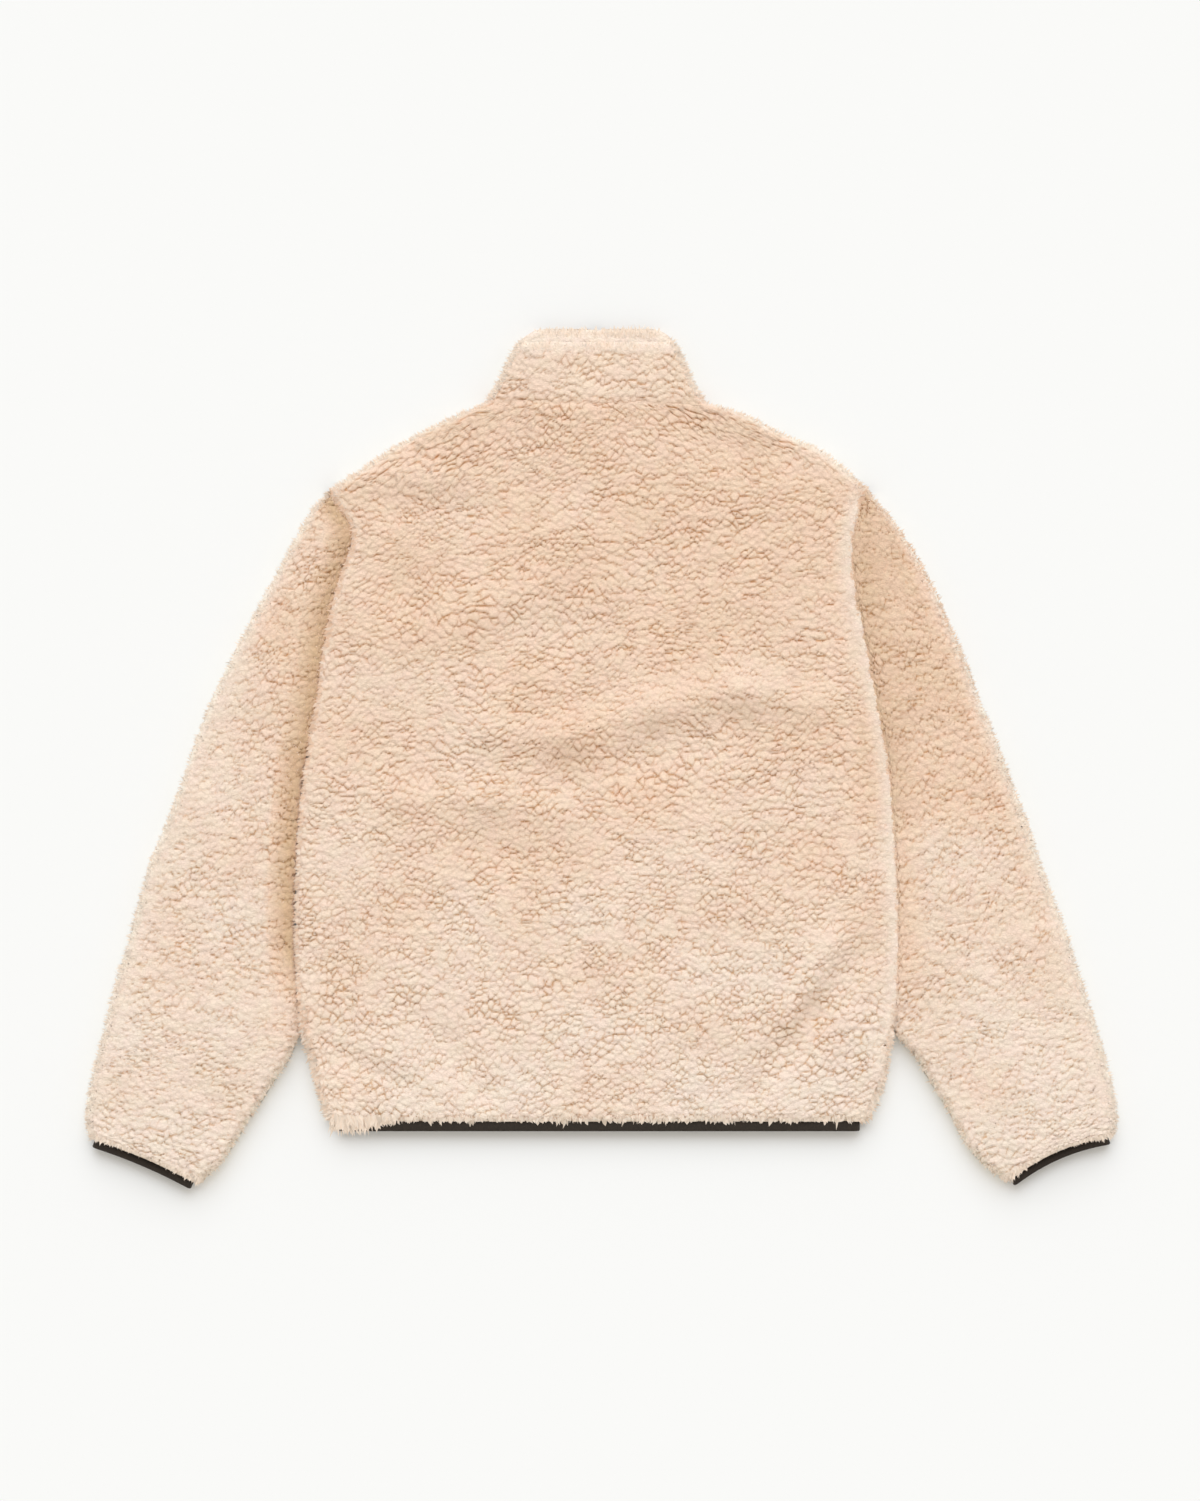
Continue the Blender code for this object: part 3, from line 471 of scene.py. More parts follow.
# Wide blotches are a little lighter or darker, smaller ones a little more pink or yellow.
blotch = noise(tree, place, 28.0, 3.0)
blotch_shade = node(tree, "MapRange", blotch, From_Min=0.3, From_Max=0.7, To_Min=0.975, To_Max=1.02)
shades = node(tree, "Math", blotch_shade, small_shade, operation="MULTIPLY")
shaded = node(tree, "VectorMath", with_painted_rim_light, operation="SCALE", Scale=shades)
tints = ramp(tree, noise(tree, place, 75.0, 2.0), ((1.0, 0.972, 0.975, 1.0), (0.992, 1.0, 0.978, 1.0)),
             (0.38, 0.62))
colour = node(tree, "VectorMath", shaded, tints, operation="MULTIPLY")

# Single fibres, tufts and curls roughen it.
fine = node(tree, "Bump", Height=noise(tree, place, 900.0, 3.0, Roughness=0.7), Strength=0.6, Distance=0.0005)
small = node(tree, "Bump", Height=between, Normal=fine, Strength=0.45, Distance=0.0005)
curly = noise(tree, place, 330.0, 2.0)
coarse = node(tree, "Bump", Height=curly, Normal=small, Strength=0.5, Distance=0.0014)
principled(tree, Base_Color=colour, Normal=coarse, Roughness=0.95, Specular_IOR_Level=0.15,
           Sheen_Weight=0.8, Sheen_Roughness=0.4)

cloth, piles = {}, {}  # each piece's (backing, ends, rows for its flat size), and its pile
body_rows = np.linspace(HEM_Y, NECK_SEAM_Y, 200)
cloth["back"] = (backing("back_backing", "back_panel", back_surface, body_ends,
                         np.linspace(HEM_Y, NECK_SEAM_Y, 75), 64, 1), body_ends, body_rows)
s, y = grid(body_ends, np.linspace(HEM_Y - 1, NECK_SEAM_Y + 2.5, 520), 432, past=(3.0, 4.0))
low, high = body_ends(y)
right_band = np.interp(y, [-345, -200, 180, 262, 336], [14, 18, 22, 16, 12])  # brushed smooth, and painted paler, along the edges
calm = (np.clip(1.25 - (high - s) / right_band, 0, 1)
        + np.clip(1.2 - (s - low) / 10, 0, 1) * np.interp(y, [-100, 60, 215, 250], [0.3, 0.6, 0.7, 1]))
free = np.maximum(rise(y, 250, 256) * rise(y, 330, 325), rise(y, -258, -266))  # at shoulders and sides
streaky = 0.42 + 0.4 * rise(y, 20, -180)  # creases run across above, and every way near the hem
piles["back"] = pile("back_pile", back_surface, s, y, 1, BACK_PITCH, 11, calm=np.clip(calm, 0, 1),
                     free=free, sideways=streaky, parts=3)

# ----------------------------------------
# Fronts. Two plain panels of the same sherpa that lie flat on the surface under the back, joined to it
# in the rolled sides and parted at the zip. Their pile is pressed flat by the weight on it.

FRONT_X = -5.0  # line of the zip
FRONT_HALF_GAP = 8.0  # from that line to each front edge
LEFT_EDGE, RIGHT_EDGE = FRONT_X - FRONT_HALF_GAP, FRONT_X + FRONT_HALF_GAP
UNDER_PITCH = (14.0, 11.0)  # the curls below, pressed wide
PRESSED = 0.05  # level of the pile that lies on the surface


def front_surface(s, y):
    """The fronts' lower side: flat on the surface, lifted a little at the hem, rolled up at the sides."""
    x, turn, rolled, _ = body_layer(s, y)
    z = np.maximum(rolled * ROLL_LEVEL * turn, UNDERSIDE_RISE * edge_round(y - HEM_Y))
    return np.stack([x, y + 0 * x, z], -1)


FRONT_ENDS = {"left": lambda y: (body_ends(y)[0], np.full_like(y, LEFT_EDGE)),
              "right": lambda y: (np.full_like(y, RIGHT_EDGE), body_ends(y)[1])}
for side, seed in (("left", 21), ("right", 22)):
    name, front_ends = f"front_{side}", FRONT_ENDS[side]
    cloth[name] = (backing(f"{name}_backing", name, front_surface, front_ends,
                           np.linspace(HEM_Y, NECK_SEAM_Y, 60), 28, -1), front_ends, body_rows)
    s, y = grid(front_ends, np.linspace(HEM_Y, NECK_SEAM_Y, 180), 72)
    piles[name] = pile(f"{name}_pile", front_surface, s, y, -1, UNDER_PITCH, seed, floor=PRESSED)

# ----------------------------------------
# Sleeves. Each is one cut piece of sherpa, closed by an underarm seam along its inner edge and set into
# the body's open side, a little lower than the body's own pile.

SEAM_GAP, SIDE_GAP = 0.3, 1.0  # to the body where the sleeve is set in, and where it lies free
SLEEVE_DIP = {"left": 10.0, "right": 3.5}  # how far the sleeve sinks towards the seam where it is set in,
SLEEVE_FALL = 0.2  # and past it, as SEAM_FALL
SLEEVE_FULLNESS = 5.0  # how much higher its middle is than LAID
SET_IN_ROLL = 24.0  # width of its roll down to that seam
INNER_SHARE, OUTER_SHARE = 0.35, 0.6  # the most of its width that its inner and its outer roll take
FIRST_SLEEVE_Y, PARTING_Y = 249.0, -265.0  # where it starts, and where it leaves the body
CUFF_LIFT = 44.0  # the cuff's outer corner is this much higher
CUFF_BOW = {"left": 3.0, "right": 8.0}  # how far the cuff curves in at its middle,
CUFF_BOW_RUN = 60.0  # and the length of sleeve that curves with it
SLEEVE_PITCH = (7.6, 5.0)
SHADOW_TINT = {"left": 4.2, "right": 1.0}  # painted shadow: how much browner the pile is in the groove at the armhole
SHADOW_REACH = 34.0

# The sleeves' outer edges from cuff to shoulder, and their inner edges below the place where they
# leave the body.
OUTER_EDGE = table("y left right", [
    (-360, -486, 485), (-345, -489, 488), (-326, -488, 487), (-288, -480, 478), (-250, -470, 467),
    (-212, -461, 455), (-174, -449, 443), (-136, -439, 429), (-98, -428, 415), (-60, -412, 403),
    (-22, -398, 388), (16, -385, 374), (54, -370, 358), (92, -352, 345), (130, -333, 328),
    (168, -312, 311), (206, -292, 289), (225, -281, 276), (243, -268, 260), (249, -262, 254)])
INNER_EDGE = table("left_x left_y right_x right_y", [
    (-299, -290, 297, -285), (-313, -311, 313, -311), (-331, -339, 329, -337), (-349, -367, 345, -367),
    (-363, -388, 364, -389), (-383, -405, 384, -403)])


def run_along(points):
    """Length along a line of points up to each of them."""
    return np.concatenate([[0], np.cumsum(np.linalg.norm(np.diff(points, axis=0), axis=1))])


def sleeve_rows(side):
    """Rows across a sleeve: inner edge point, direction to the outer one, widths, rolls and their lengths."""
    beside_y = np.arange(FIRST_SLEEVE_Y, PARTING_Y - 1, -4.0)
    rolled = np.interp(beside_y, *ROLLED[side])
    gap = SEAM_GAP + (SIDE_GAP - SEAM_GAP) * rolled
    beside = np.stack([on_curve(BODY, side, beside_y) + OUTWARD[side] * gap, beside_y], 1)
    knots = np.concatenate([beside[-1:], np.stack([INNER_EDGE[side + "_x"], INNER_EDGE[side + "_y"]], 1)])
    run = run_along(knots)
    stops = np.linspace(0, run[-1], 44)[1:]
    curve = {"at": run, "x": knots[:, 0], "y": knots[:, 1]}
    inner = np.concatenate([beside, np.stack([on_curve(curve, k, stops, by="at") for k in "xy"], 1)])
    rolled = np.concatenate([rolled, np.ones(len(stops))])
    length = run_along(inner)
    outer_y = inner[:, 1] + CUFF_LIFT * length / length[-1]
    outer = np.stack([on_curve(OUTER_EDGE, side, outer_y), outer_y], 1)
    width = np.linalg.norm(outer - inner, axis=1)
    across = (outer - inner) / width[:, None]

    def crossing(line):
        """How much wider a roll is along the row than square to the edge."""
        way = unit(np.gradient(line, axis=0))
        return 1 / np.maximum(np.abs(way[:, 0] * across[:, 1] - way[:, 1] * across[:, 0]), 1 / WIDEST_ROLL)

    outer_roll = np.minimum(ROLL_LEVEL * crossing(outer), OUTER_SHARE * width)
    most = INNER_SHARE * width
    set_in = np.minimum(SET_IN_ROLL, most)
    inner_roll = np.minimum(rolled * ROLL_LEVEL * crossing(inner) + (1 - rolled) * set_in, most)
    half = (width - inner_roll - outer_roll) / 2
    return {"t": length, "x": inner[:, 0], "y": inner[:, 1], "ax": across[:, 0], "ay": across[:, 1],
            "width": width, "outer_roll": outer_roll, "inner_roll": inner_roll, "rolled": rolled,
            "half": half, "edge": half + quarter(outer_roll), "turned": half + 1.35 * quarter(outer_roll),
            "fullness": SLEEVE_FULLNESS * rise(width, 30, 90)}


def sleeve_of(side):
    """The sleeve's surface and its ends as functions of s and t, and its rows.

    s runs over the top from its middle, round the outer edge and back underneath. t is the distance
    from the shoulder point along the inner edge.
    """
    rows = sleeve_rows(side)

    def at(t):
        return {key: np.interp(t, rows["t"], values) for key, values in rows.items()}

    def measures(r):
        """Half the flat width, and the lengths of the inner roll above, the outer roll and the one below."""
        level = r["rolled"] * ROLL_LEVEL
        near = quarter(r["inner_roll"], level + (1 - r["rolled"]) * SLEEVE_DIP[side])
        return r["half"], near, 2 * quarter(r["outer_roll"]), quarter(r["inner_roll"], level)

    def ends(t):
        half, near, far, under = measures(at(t))
        return -half - near, 3 * half + far + under

    def surface(s, t):
        r = at(t)
        half, near, far, under = measures(r)
        width, ri, ro, rolled = r["width"], r["inner_roll"], r["outer_roll"], r["rolled"]

        def crown(q):
            return LAID + r["fullness"] * (1 - (2 * q / width - 1) ** 2)

        a = np.clip((-half - s) / near, 0, OVERTURN) * RIGHT_ANGLE
        past = (1 - rolled) * np.maximum(-half - s - near, 0)
        q_near = ri * (1 - np.sin(np.where(rolled < 0.5, np.minimum(a, RIGHT_ANGLE), a))) - past
        drop = rolled * (crown(ri) - ROLL_LEVEL) + (1 - rolled) * SLEEVE_DIP[side]
        z_near = crown(ri) - drop * (1 - np.cos(np.minimum(a, RIGHT_ANGLE))) - SLEEVE_FALL * past ** 2
        b = np.clip((s - half) / far, 0, 1) * np.pi
        q_far = width - ro * (1 - np.sin(b))
        outer_crown = crown(width - ro)
        z_far = np.where(b < RIGHT_ANGLE, outer_crown - (outer_crown - ROLL_LEVEL) * (1 - np.cos(b)),
                         ROLL_LEVEL * (1 + np.cos(b)))
        c = np.clip((s - 3 * half - far) / under, 0, OVERTURN) * RIGHT_ANGLE
        q_under = ri + half * 2 - (s - half - far)
        q_last, z_last = ri * (1 - np.sin(c)), rolled * ROLL_LEVEL * (1 - np.cos(np.minimum(c, RIGHT_ANGLE)))
        q_top = ri + half + s
        where = [s < -half, s <= half, s <= half + far, s <= 3 * half + far]
        q = np.select(where, [q_near, q_top, q_far, q_under], q_last)
        z = np.select(where, [z_near, crown(q_top), z_far, 0 * s], z_last)

        to_cuff = rows["t"][-1] - t
        rounding = edge_round(to_cuff)
        z = np.where(z > ROLL_LEVEL, z - EDGE_DIP * rounding * (z - ROLL_LEVEL) / (LAID - ROLL_LEVEL),
                     z + UNDERSIDE_RISE * rounding * (1 - z / ROLL_LEVEL))
        arch = CUFF_BOW[side] * rise(to_cuff, CUFF_BOW_RUN, 0) ** 2 * (1 - (2 * q / width - 1) ** 2)
        lift = OUTWARD[side] * (arch - (t - np.clip(t, 0, rows["t"][-1])))
        return np.stack([r["x"] + r["ax"] * q - r["ay"] * lift, r["y"] + r["ay"] * q + r["ax"] * lift, z], -1)

    return surface, ends, rows


sleeves = {side: sleeve_of(side) for side in OUTWARD}
for side, seed in (("left", 31), ("right", 32)):
    name, facing = f"sleeve_{side}", -OUTWARD[side]
    surface, ends, rows = sleeves[side]
    length = rows["t"][-1]
    shell_rows = np.concatenate([np.arange(0, length - 12, 9.0), np.linspace(length - 10, length, 5)])
    cloth[name] = backing(f"{name}_backing", name, surface, ends, shell_rows, 56, facing), ends, rows["t"]

    def turned(t):
        """Where the upper pile meets the lower one, a little under the outer edge."""
        return np.interp(t, rows["t"], rows["turned"])

    s, t = grid(lambda t: (ends(t)[0], turned(t)), np.linspace(-3, length + 1, 400), 118, past=(2.5, 0.0))
    low, high = ends(t)[0], turned(t)
    calm = np.clip(1.35 - (high - s) / np.clip(0.24 * (high - low), 6, 21), 0, 1)
    # painted shadow in the groove beside the armhole
    painted_groove_shadow = -SHADOW_TINT[side] * rise(s - low, SHADOW_REACH, 0) * rise(t, 500, 440)
    free = np.maximum(np.clip((s - low) / (0.5 * (high - low)) - 0.4, 0, 1), rise(t, 510, 550))
    piles[name] = pile(f"{name}_pile", surface, s, t, facing, SLEEVE_PITCH, seed, calm=calm, painted_groove_shadow=painted_groove_shadow,
                       free=free, sideways=0.55, downward=1)
    s, t = grid(lambda t: (turned(t), ends(t)[1]), np.linspace(1, length + 1, 150), 42)
    piles[name] += pile(f"{name}_under_pile", surface, s, t, facing, UNDER_PITCH, seed + 5, calm=0.3,
                        floor=PRESSED, downward=1)

# Where shoulder seam and armhole seam meet, the pile of back and sleeve closes over the corner.
SHOULDER_POINT = {"left": (-251.0, 248.0), "right": (246.0, 250.0)}
POINT_REACH, POINT_TOP, POINT_FALL = 8.0, 16.5, 0.085


def point_surface(side):
    """A low round hill over the corner: its height falls by the square of the distance from its middle."""
    x, y = SHOULDER_POINT[side]
    return lambda s, t: np.stack([x + s, y + t, POINT_TOP - POINT_FALL * (s ** 2 + t ** 2)], -1)


for side in OUTWARD:
    over = np.linspace(-POINT_REACH, POINT_REACH, 24)
    t, s = np.meshgrid(over, over, indexing="ij")
    piles[f"sleeve_{side}"] += pile(f"shoulder_{side}_point_pile", point_surface(side), s, t, 1,
                                    SLEEVE_PITCH, 45, calm=0.3, free=0.4)

# ----------------------------------------
# Collar. One length of sherpa that stands round the neck and lies flattened here: the back of it is on
# top, and the front rises a little past it, parted at the zip.

COLLAR_BACK_TOP_Y, COLLAR_FRONT_TOP_Y = 393.0, 406.0
COLLAR_ROLL = 1.15 * ROLL_LEVEL
COLLAR = table("y left right", [
    (336, -111, 99), (342, -107, 95), (354, -100, 88), (375, -90, 79), (393, -79, 69), (401, -71, 62),
    (406, -63, 55)])
COLLAR_START = NECK_SEAM_Y + SEAM_GAP
COLLAR_HEIGHT = COLLAR_BACK_TOP_Y - COLLAR_START
COLLAR_HALF_TURN = 2 * quarter(COLLAR_ROLL)
COLLAR_PITCH = (7.8, 4.9)


def collar_edges(y):
    return on_curve(COLLAR, "left", y) + COLLAR_ROLL, on_curve(COLLAR, "right", y) - COLLAR_ROLL


def collar_ends(h):
    left, right = collar_edges(COLLAR_START + h)
    return left - COLLAR_HALF_TURN - (LEFT_EDGE - left), right + COLLAR_HALF_TURN + (right - RIGHT_EDGE)


def collar_surface(s, h):
    """The collar's outer side at the length s across and the height h above the neck seam.

    Round its ends the collar turns under by half a circle, and its height grows from that of the
    back to that of the front with half of 1 - cos of the turn.
    """
    left, right = collar_edges(COLLAR_START + h)
    over = np.maximum(left - s, s - right)
    a = np.clip(over / COLLAR_HALF_TURN, 0, 1) * np.pi
    low = (1 - np.cos(a)) / 2
    y = COLLAR_START + h * (1 + (COLLAR_FRONT_TOP_Y - COLLAR_BACK_TOP_Y) / COLLAR_HEIGHT * low)
    left_y, right_y = collar_edges(y)
    under = np.maximum(over - COLLAR_HALF_TURN, 0)
    on_left = s < (left + right) / 2
    from_left = under * (LEFT_EDGE - left_y) / (LEFT_EDGE - left)
    from_right = under * (right_y - RIGHT_EDGE) / (right - RIGHT_EDGE)
    x = np.where(on_left, left_y - COLLAR_ROLL * np.sin(a) + from_left,
                 right_y + COLLAR_ROLL * np.sin(a) - from_right)
    x = np.where(over > 0, x, s)
    to_top = COLLAR_HEIGHT - h
    crest = LAID - NECK_DIP * edge_round(h) - EDGE_DIP * edge_round(to_top)
    lift = UNDERSIDE_RISE * edge_round(to_top)
    z = np.where(a <= RIGHT_ANGLE, crest - (crest - ROLL_LEVEL) * (1 - np.cos(a)),
                 lift + (ROLL_LEVEL - lift) * (1 + np.cos(a)))
    return np.stack([x, y, z], -1)


near_edge = np.array([0, 2, 4, 6.5])  # the shell's rows are closer where it is rounded
shell_rows = np.concatenate([near_edge, np.linspace(9, COLLAR_HEIGHT - 9, 9),
                             COLLAR_HEIGHT - near_edge[::-1]])
cloth["collar"] = (backing("collar_backing", "collar", collar_surface, collar_ends, shell_rows, 90, 1,
                           shown=1.0), collar_ends, np.linspace(0, COLLAR_HEIGHT, 40))
s, h = grid(collar_ends, np.linspace(-2.5, COLLAR_HEIGHT + 1, 44), 300)
free = np.clip(np.minimum(h / 8 - 0.5, (COLLAR_HEIGHT - h) / 10 - 0.4), 0, 1)
piles["collar"] = pile("collar_pile", collar_surface, s, h, 1, COLLAR_PITCH, 41,
                       calm=0.8 * rise(COLLAR_HEIGHT - h, 12, 3), free=free, sideways=0.55, floor=PRESSED)

LIP_TOP, LIP_FALL = 13.4, 0.15  # height of the lip at Y 390, and its fall for each mm from there
LIP_ROUNDING = 2.5
LIP_NOTCH = 1.6  # half of the parting at the very top of the collar's two ends
LIP_OVERLAP = 0.4  # how far the two ends run into each other below it


def lip_surface(s, y):
    """The inner side of the collar's front, which shows above the top of the collar's back."""
    turn = np.minimum(rise(y, COLLAR_FRONT_TOP_Y - 6, COLLAR_FRONT_TOP_Y), 0.98)
    z = LIP_TOP - LIP_FALL * (y - 390) - LIP_ROUNDING * (1 - np.sqrt(1 - turn ** 2))
    return np.stack([s, y, z + 0 * s], -1)


def parting(y):
    """Half the gap between the two ends: closed by the pile below, and open at the very top."""
    return LIP_NOTCH * rise(y, COLLAR_FRONT_TOP_Y - 4, COLLAR_FRONT_TOP_Y) - LIP_OVERLAP


LIP_ENDS = {"left": lambda y: (on_curve(COLLAR, "left", y) + 0.5, FRONT_X - parting(y)),
            "right": lambda y: (FRONT_X + parting(y), on_curve(COLLAR, "right", y) - 0.5)}
for side, lip_ends in LIP_ENDS.items():
    s, y = grid(lip_ends, np.linspace(COLLAR_BACK_TOP_Y - 6, COLLAR_FRONT_TOP_Y - 0.3, 16), 60)
    piles["collar"] += pile(f"collar_lip_{side}", lip_surface, s, y, 1, COLLAR_PITCH, 43, calm=0.7)

# ----------------------------------------
# Loose tips of the pile. Along every edge and outline the fibres of the same fleece stand free of the
# curls: they blur the outline, hang over the bindings and close the grooves at the armholes.

# Loose fibre tips: the same cream polyester, so thin that light passes through them. Their colour follows the
# paleness, with painted light added where they stand out at edges.
tip_fibres, tree, _ = new_material("loose_polyester_fibres")
shade = ramp(tree, attribute(tree, "pale"), ("#EFD0B4", "#F8E8D6"))
front = node(tree, "BsdfDiffuse", Color=shade)
through = node(tree, "BsdfTranslucent", Color=shade)
node(tree, "OutputMaterial", node(tree, "MixShader", 0.15, front, through))

LOWEST_TIP = 0.1  # above the surface
UP = np.array([0.0, 0.0, 1.0])
scatter = np.random.default_rng(51)


def along(first, last, count):
    """Random places from first to last."""
    return scatter.uniform(first, last, count)


def tips(owner, name, surface, s, t, facing, length, width, seed, toward=(0.0, 0.0, 0.0), paler=0.0):
    """Loose tips on a cloth piece as a joined mesh: one narrow pointed blade at each s and t.

    A blade starts half a millimetre under the surface, points along the normal plus `toward` plus a
    random part, bends at half its length, and has its flat side up. It takes light as the pile round it,
    and `paler` adds painted light to its colour where the tips stand out at edges and outlines.
    """
    random = np.random.default_rng(seed)
    root, out = surface(s, t), normals(surface, s, t, facing)
    count = len(s)
    first = unit(out + np.array(toward) + random.normal(size=(count, 3)) * 0.45)
    bend = random.normal(size=(count, 3)) * 0.35
    reach = (length * random.uniform(0.5, 1.25, count))[:, None]
    root = root - 0.5 * out
    middle = root + first * reach * 0.55
    tip = middle + (first + bend) * reach * 0.5
    side = unit(np.cross(first, UP + random.normal(size=(count, 3)) * 0.3))
    lit = unit(0.6 * out + 1.2 * UP + random.normal(size=(count, 3)) * 0.35)
    pale = paleness(root[:, 0], root[:, 1]) + paler + random.normal(size=count) * 0.3
    side *= (width * random.uniform(0.6, 1.3, count) / 2)[:, None]
    points = np.stack([root - side, root + side, middle - 0.8 * side, middle + 0.8 * side, tip], 1)
    points[..., 2] = np.maximum(points[..., 2], LOWEST_TIP)
    base = (np.arange(count) * 5)[:, None]
    blades = put(name, points, [np.array([[0, 1, 3, 2]]) + base, np.array([[2, 3, 4]]) + base],
                 {"pale": np.repeat(pale, 5)}, shading=np.repeat(lit, 5, axis=0))
    blades.visible_shadow = False  # too thin to shade the pile
    piles[owner].append(sewn(blades, tip_fibres, "sherpa_fleece"))


def body_edge(side, y):
    return body_ends(y)[0 if side == "left" else 1]


def edge_tips(side, name, reach, inset, count, *shape):
    """Tips on the back beside one of its edges: from Y to Y in `reach`, and `inset` within the edge."""
    y = along(*reach, count)
    s = body_edge(side, y) - OUTWARD[side] * along(*inset, count)
    tips("back", name, back_surface, s, y, 1, *shape)


# The largest of them are whole tufts: over the left armhole, down the sides and over the bindings. They
# start on the lit upper side and lie level.
edge_tips("left", "tufts_left_armhole", (-262, 246), (3, 8), 520, 5.5, 3.4, 81, (-1.5, -0.6, -0.9))
edge_tips("left", "tufts_left_side", (HEM_Y, -235), (7, 14), 170, 6.0, 3.4, 82, (-0.8, -0.8, -0.2))
edge_tips("right", "tufts_right_side", (HEM_Y, -235), (7, 14), 110, 5.0, 3.0, 83, (0.8, -0.7, -0.2))
s = along(-256, 250, 230)
tips("back", "tufts_hem", back_surface, s, HEM_Y + along(0, 5, 230), 1, 5.2, 3.8, 84, (0, -1.5, -0.7), 0.7)
s = along(-257, -196, 330)
hanging = np.interp(s, [-230, -200], [12.5, 4.5])  # the fleece wraps the binding's left end
tips("back", "tufts_hem_left_end", back_surface, s, HEM_Y + along(-1, 6, 330), 1, hanging, 3.6, 85,
     (0.1, -2.2, -0.7), 0.7)

# The rest are single wisps, but for the tufts at the shoulder points, the cuffs and the collar's top.
edge_tips("left", "tips_left_armhole", (-252, 246), (3, 9), 500, 4.5, 1.1, 61, (-1.4, -0.3, -0.8))
edge_tips("right", "tips_right_armhole", (-252, 246), (3, 9), 700, 4.5, 1.1, 62, (1.4, -0.3, -0.8))
for side, out in OUTWARD.items():
    edge_tips(side, f"tips_{side}_shoulder", (247, NECK_SEAM_Y), (3, 13), 520, 4.0, 1.0, 63,
              (0.6 * out, 0.3, 0), 0.8)
    y = along(241, 250, 90)
    tips("back", f"tufts_{side}_point", back_surface, body_edge(side, y) + out * along(-5, 4, 90), y, 1,
         5.0, 2.4, 86, (out, 0.8, -0.9))
    edge_tips(side, f"tips_{side}_side", (HEM_Y, -262), (3, 13), 300, 4.0, 1.0, 64, (0.6 * out, 0, 0))
    surface, ends, rows = sleeves[side]
    owner, facing, length = f"sleeve_{side}", -out, rows["t"][-1]
    t = along(-3, length, 2800)
    tips(owner, f"tips_{side}_sleeve_edge", surface, np.interp(t, rows["t"], rows["edge"])
         + along(-13, -1.5, 2800), t, facing, 4.2, 1.0, 65, paler=1.0)
    t = along(500, length, 500)
    tips(owner, f"tips_{side}_sleeve_inside", surface, ends(t)[0] + along(3, 13, 500), t, facing,
         4.0, 1.0, 66)
    t = length - along(2, 8, 400)
    low, high = ends(t)[0], np.interp(t, rows["t"], rows["edge"])
    share = along(0, 1, 400)
    hanging = np.interp(np.abs(2 * share - 1), [0.0, 0.5, 0.84, 0.92, 1.0], [1.8, 3.4, 5.6, 2.6, 1.5])
    tips(owner, f"tips_{side}_cuff", surface, low + (high - low) * share, t, facing, hanging, 2.4, 67,
         (1.5 * out * rows["ay"][-1], -1.5 * out * rows["ax"][-1], -0.7), 0.4)
    t = along(0, length, 5000)
    low, high = ends(t)[0], np.interp(t, rows["t"], rows["edge"])
    tips(owner, f"tips_{side}_sleeve", surface, low + (high - low) * along(0.08, 1, 5000), t, facing,
         2.4, 0.7, 74, (0, -0.9, 0))
s = along(-254, 248, 500)
tips("back", "tips_hem", back_surface, s, HEM_Y + along(1, 7, 500), 1, 4.0, 1.2, 68, (0, -1.5, -0.7), 0.7)
s = along(-80, 70, 420)
tips("collar", "tufts_collar_top", collar_surface, s, COLLAR_HEIGHT - along(1, 8, 420), 1, 4.2, 1.5, 69,
     (0, 1.2, -0.7), 0.6)
s = along(-63, 55, 500)
tips("collar", "tips_collar_front", lip_surface, s, COLLAR_FRONT_TOP_Y - along(0.5, 9, 500), 1, 4.4, 1.5, 70,
     (0, 1.3, -0.6), 0.6)
h = along(2, COLLAR_HEIGHT, 320)
for side, edge, seed in zip(OUTWARD, collar_edges(COLLAR_START + h), (71, 72)):
    s = edge + OUTWARD[side] * (COLLAR_HALF_TURN / 2 - along(3, 12, 320))
    tips("collar", f"tips_collar_{side}", collar_surface, s, h, 1, 4.4, 1.2, seed,
         (0.5 * OUTWARD[side], 0, 0), 0.8)
y = along(HEM_Y, NECK_SEAM_Y - 3, 15000)
low, high = body_ends(y)
tips("back", "tips_back", back_surface, low + (high - low) * along(0.02, 0.98, 15000), y, 1, 2.4, 0.7, 75,
     (0, -0.9, 0))

# ----------------------------------------
# Elastic binding of hem and cuffs: near-black knitted elastic, folded over the raw edge and stitched
# through, which draws the edge in.

HEM_BINDING_HEIGHT, CUFF_BINDING_HEIGHT = 10.0, 8.0
BINDING_WALL = 3.6
BINDING_ROUNDING = 0.42 * BINDING_WALL  # of the folded lower edge
BINDING_TOP_Z, BINDING_UNDER_Z = 11.6, 4.6  # middles of its two layers
BINDING_STEP = 2.0  # between the rings of points along it
HEM_BINDING_X = (-251.0, 245.0)
CUFF_BINDING_INSET = 5.0
CUFF_GAP = 0.8
RIB_PITCH = 1.5  # ribs across the elastic, along its run

elastic, tree, place = new_material("black_knitted_elastic")
fuzz = noise(tree, place, 700.0, 2.0)
turns = node(tree, "Math", attribute(tree, "run"), 2 * np.pi / RIB_PITCH, operation="MULTIPLY")
ribbed = node(tree, "Bump", Height=node(tree, "Math", turns, operation="SINE"), Strength=0.6, Distance=0.0002)
knit = node(tree, "Bump", Height=fuzz, Normal=ribbed, Strength=0.5, Distance=0.0004)
principled(tree, Base_Color=ramp(tree, fuzz, ("#1D1610", "#3A3026")), Normal=knit,
           Roughness=0.75, Specular_IOR_Level=0.3, Sheen_Weight=0.1)


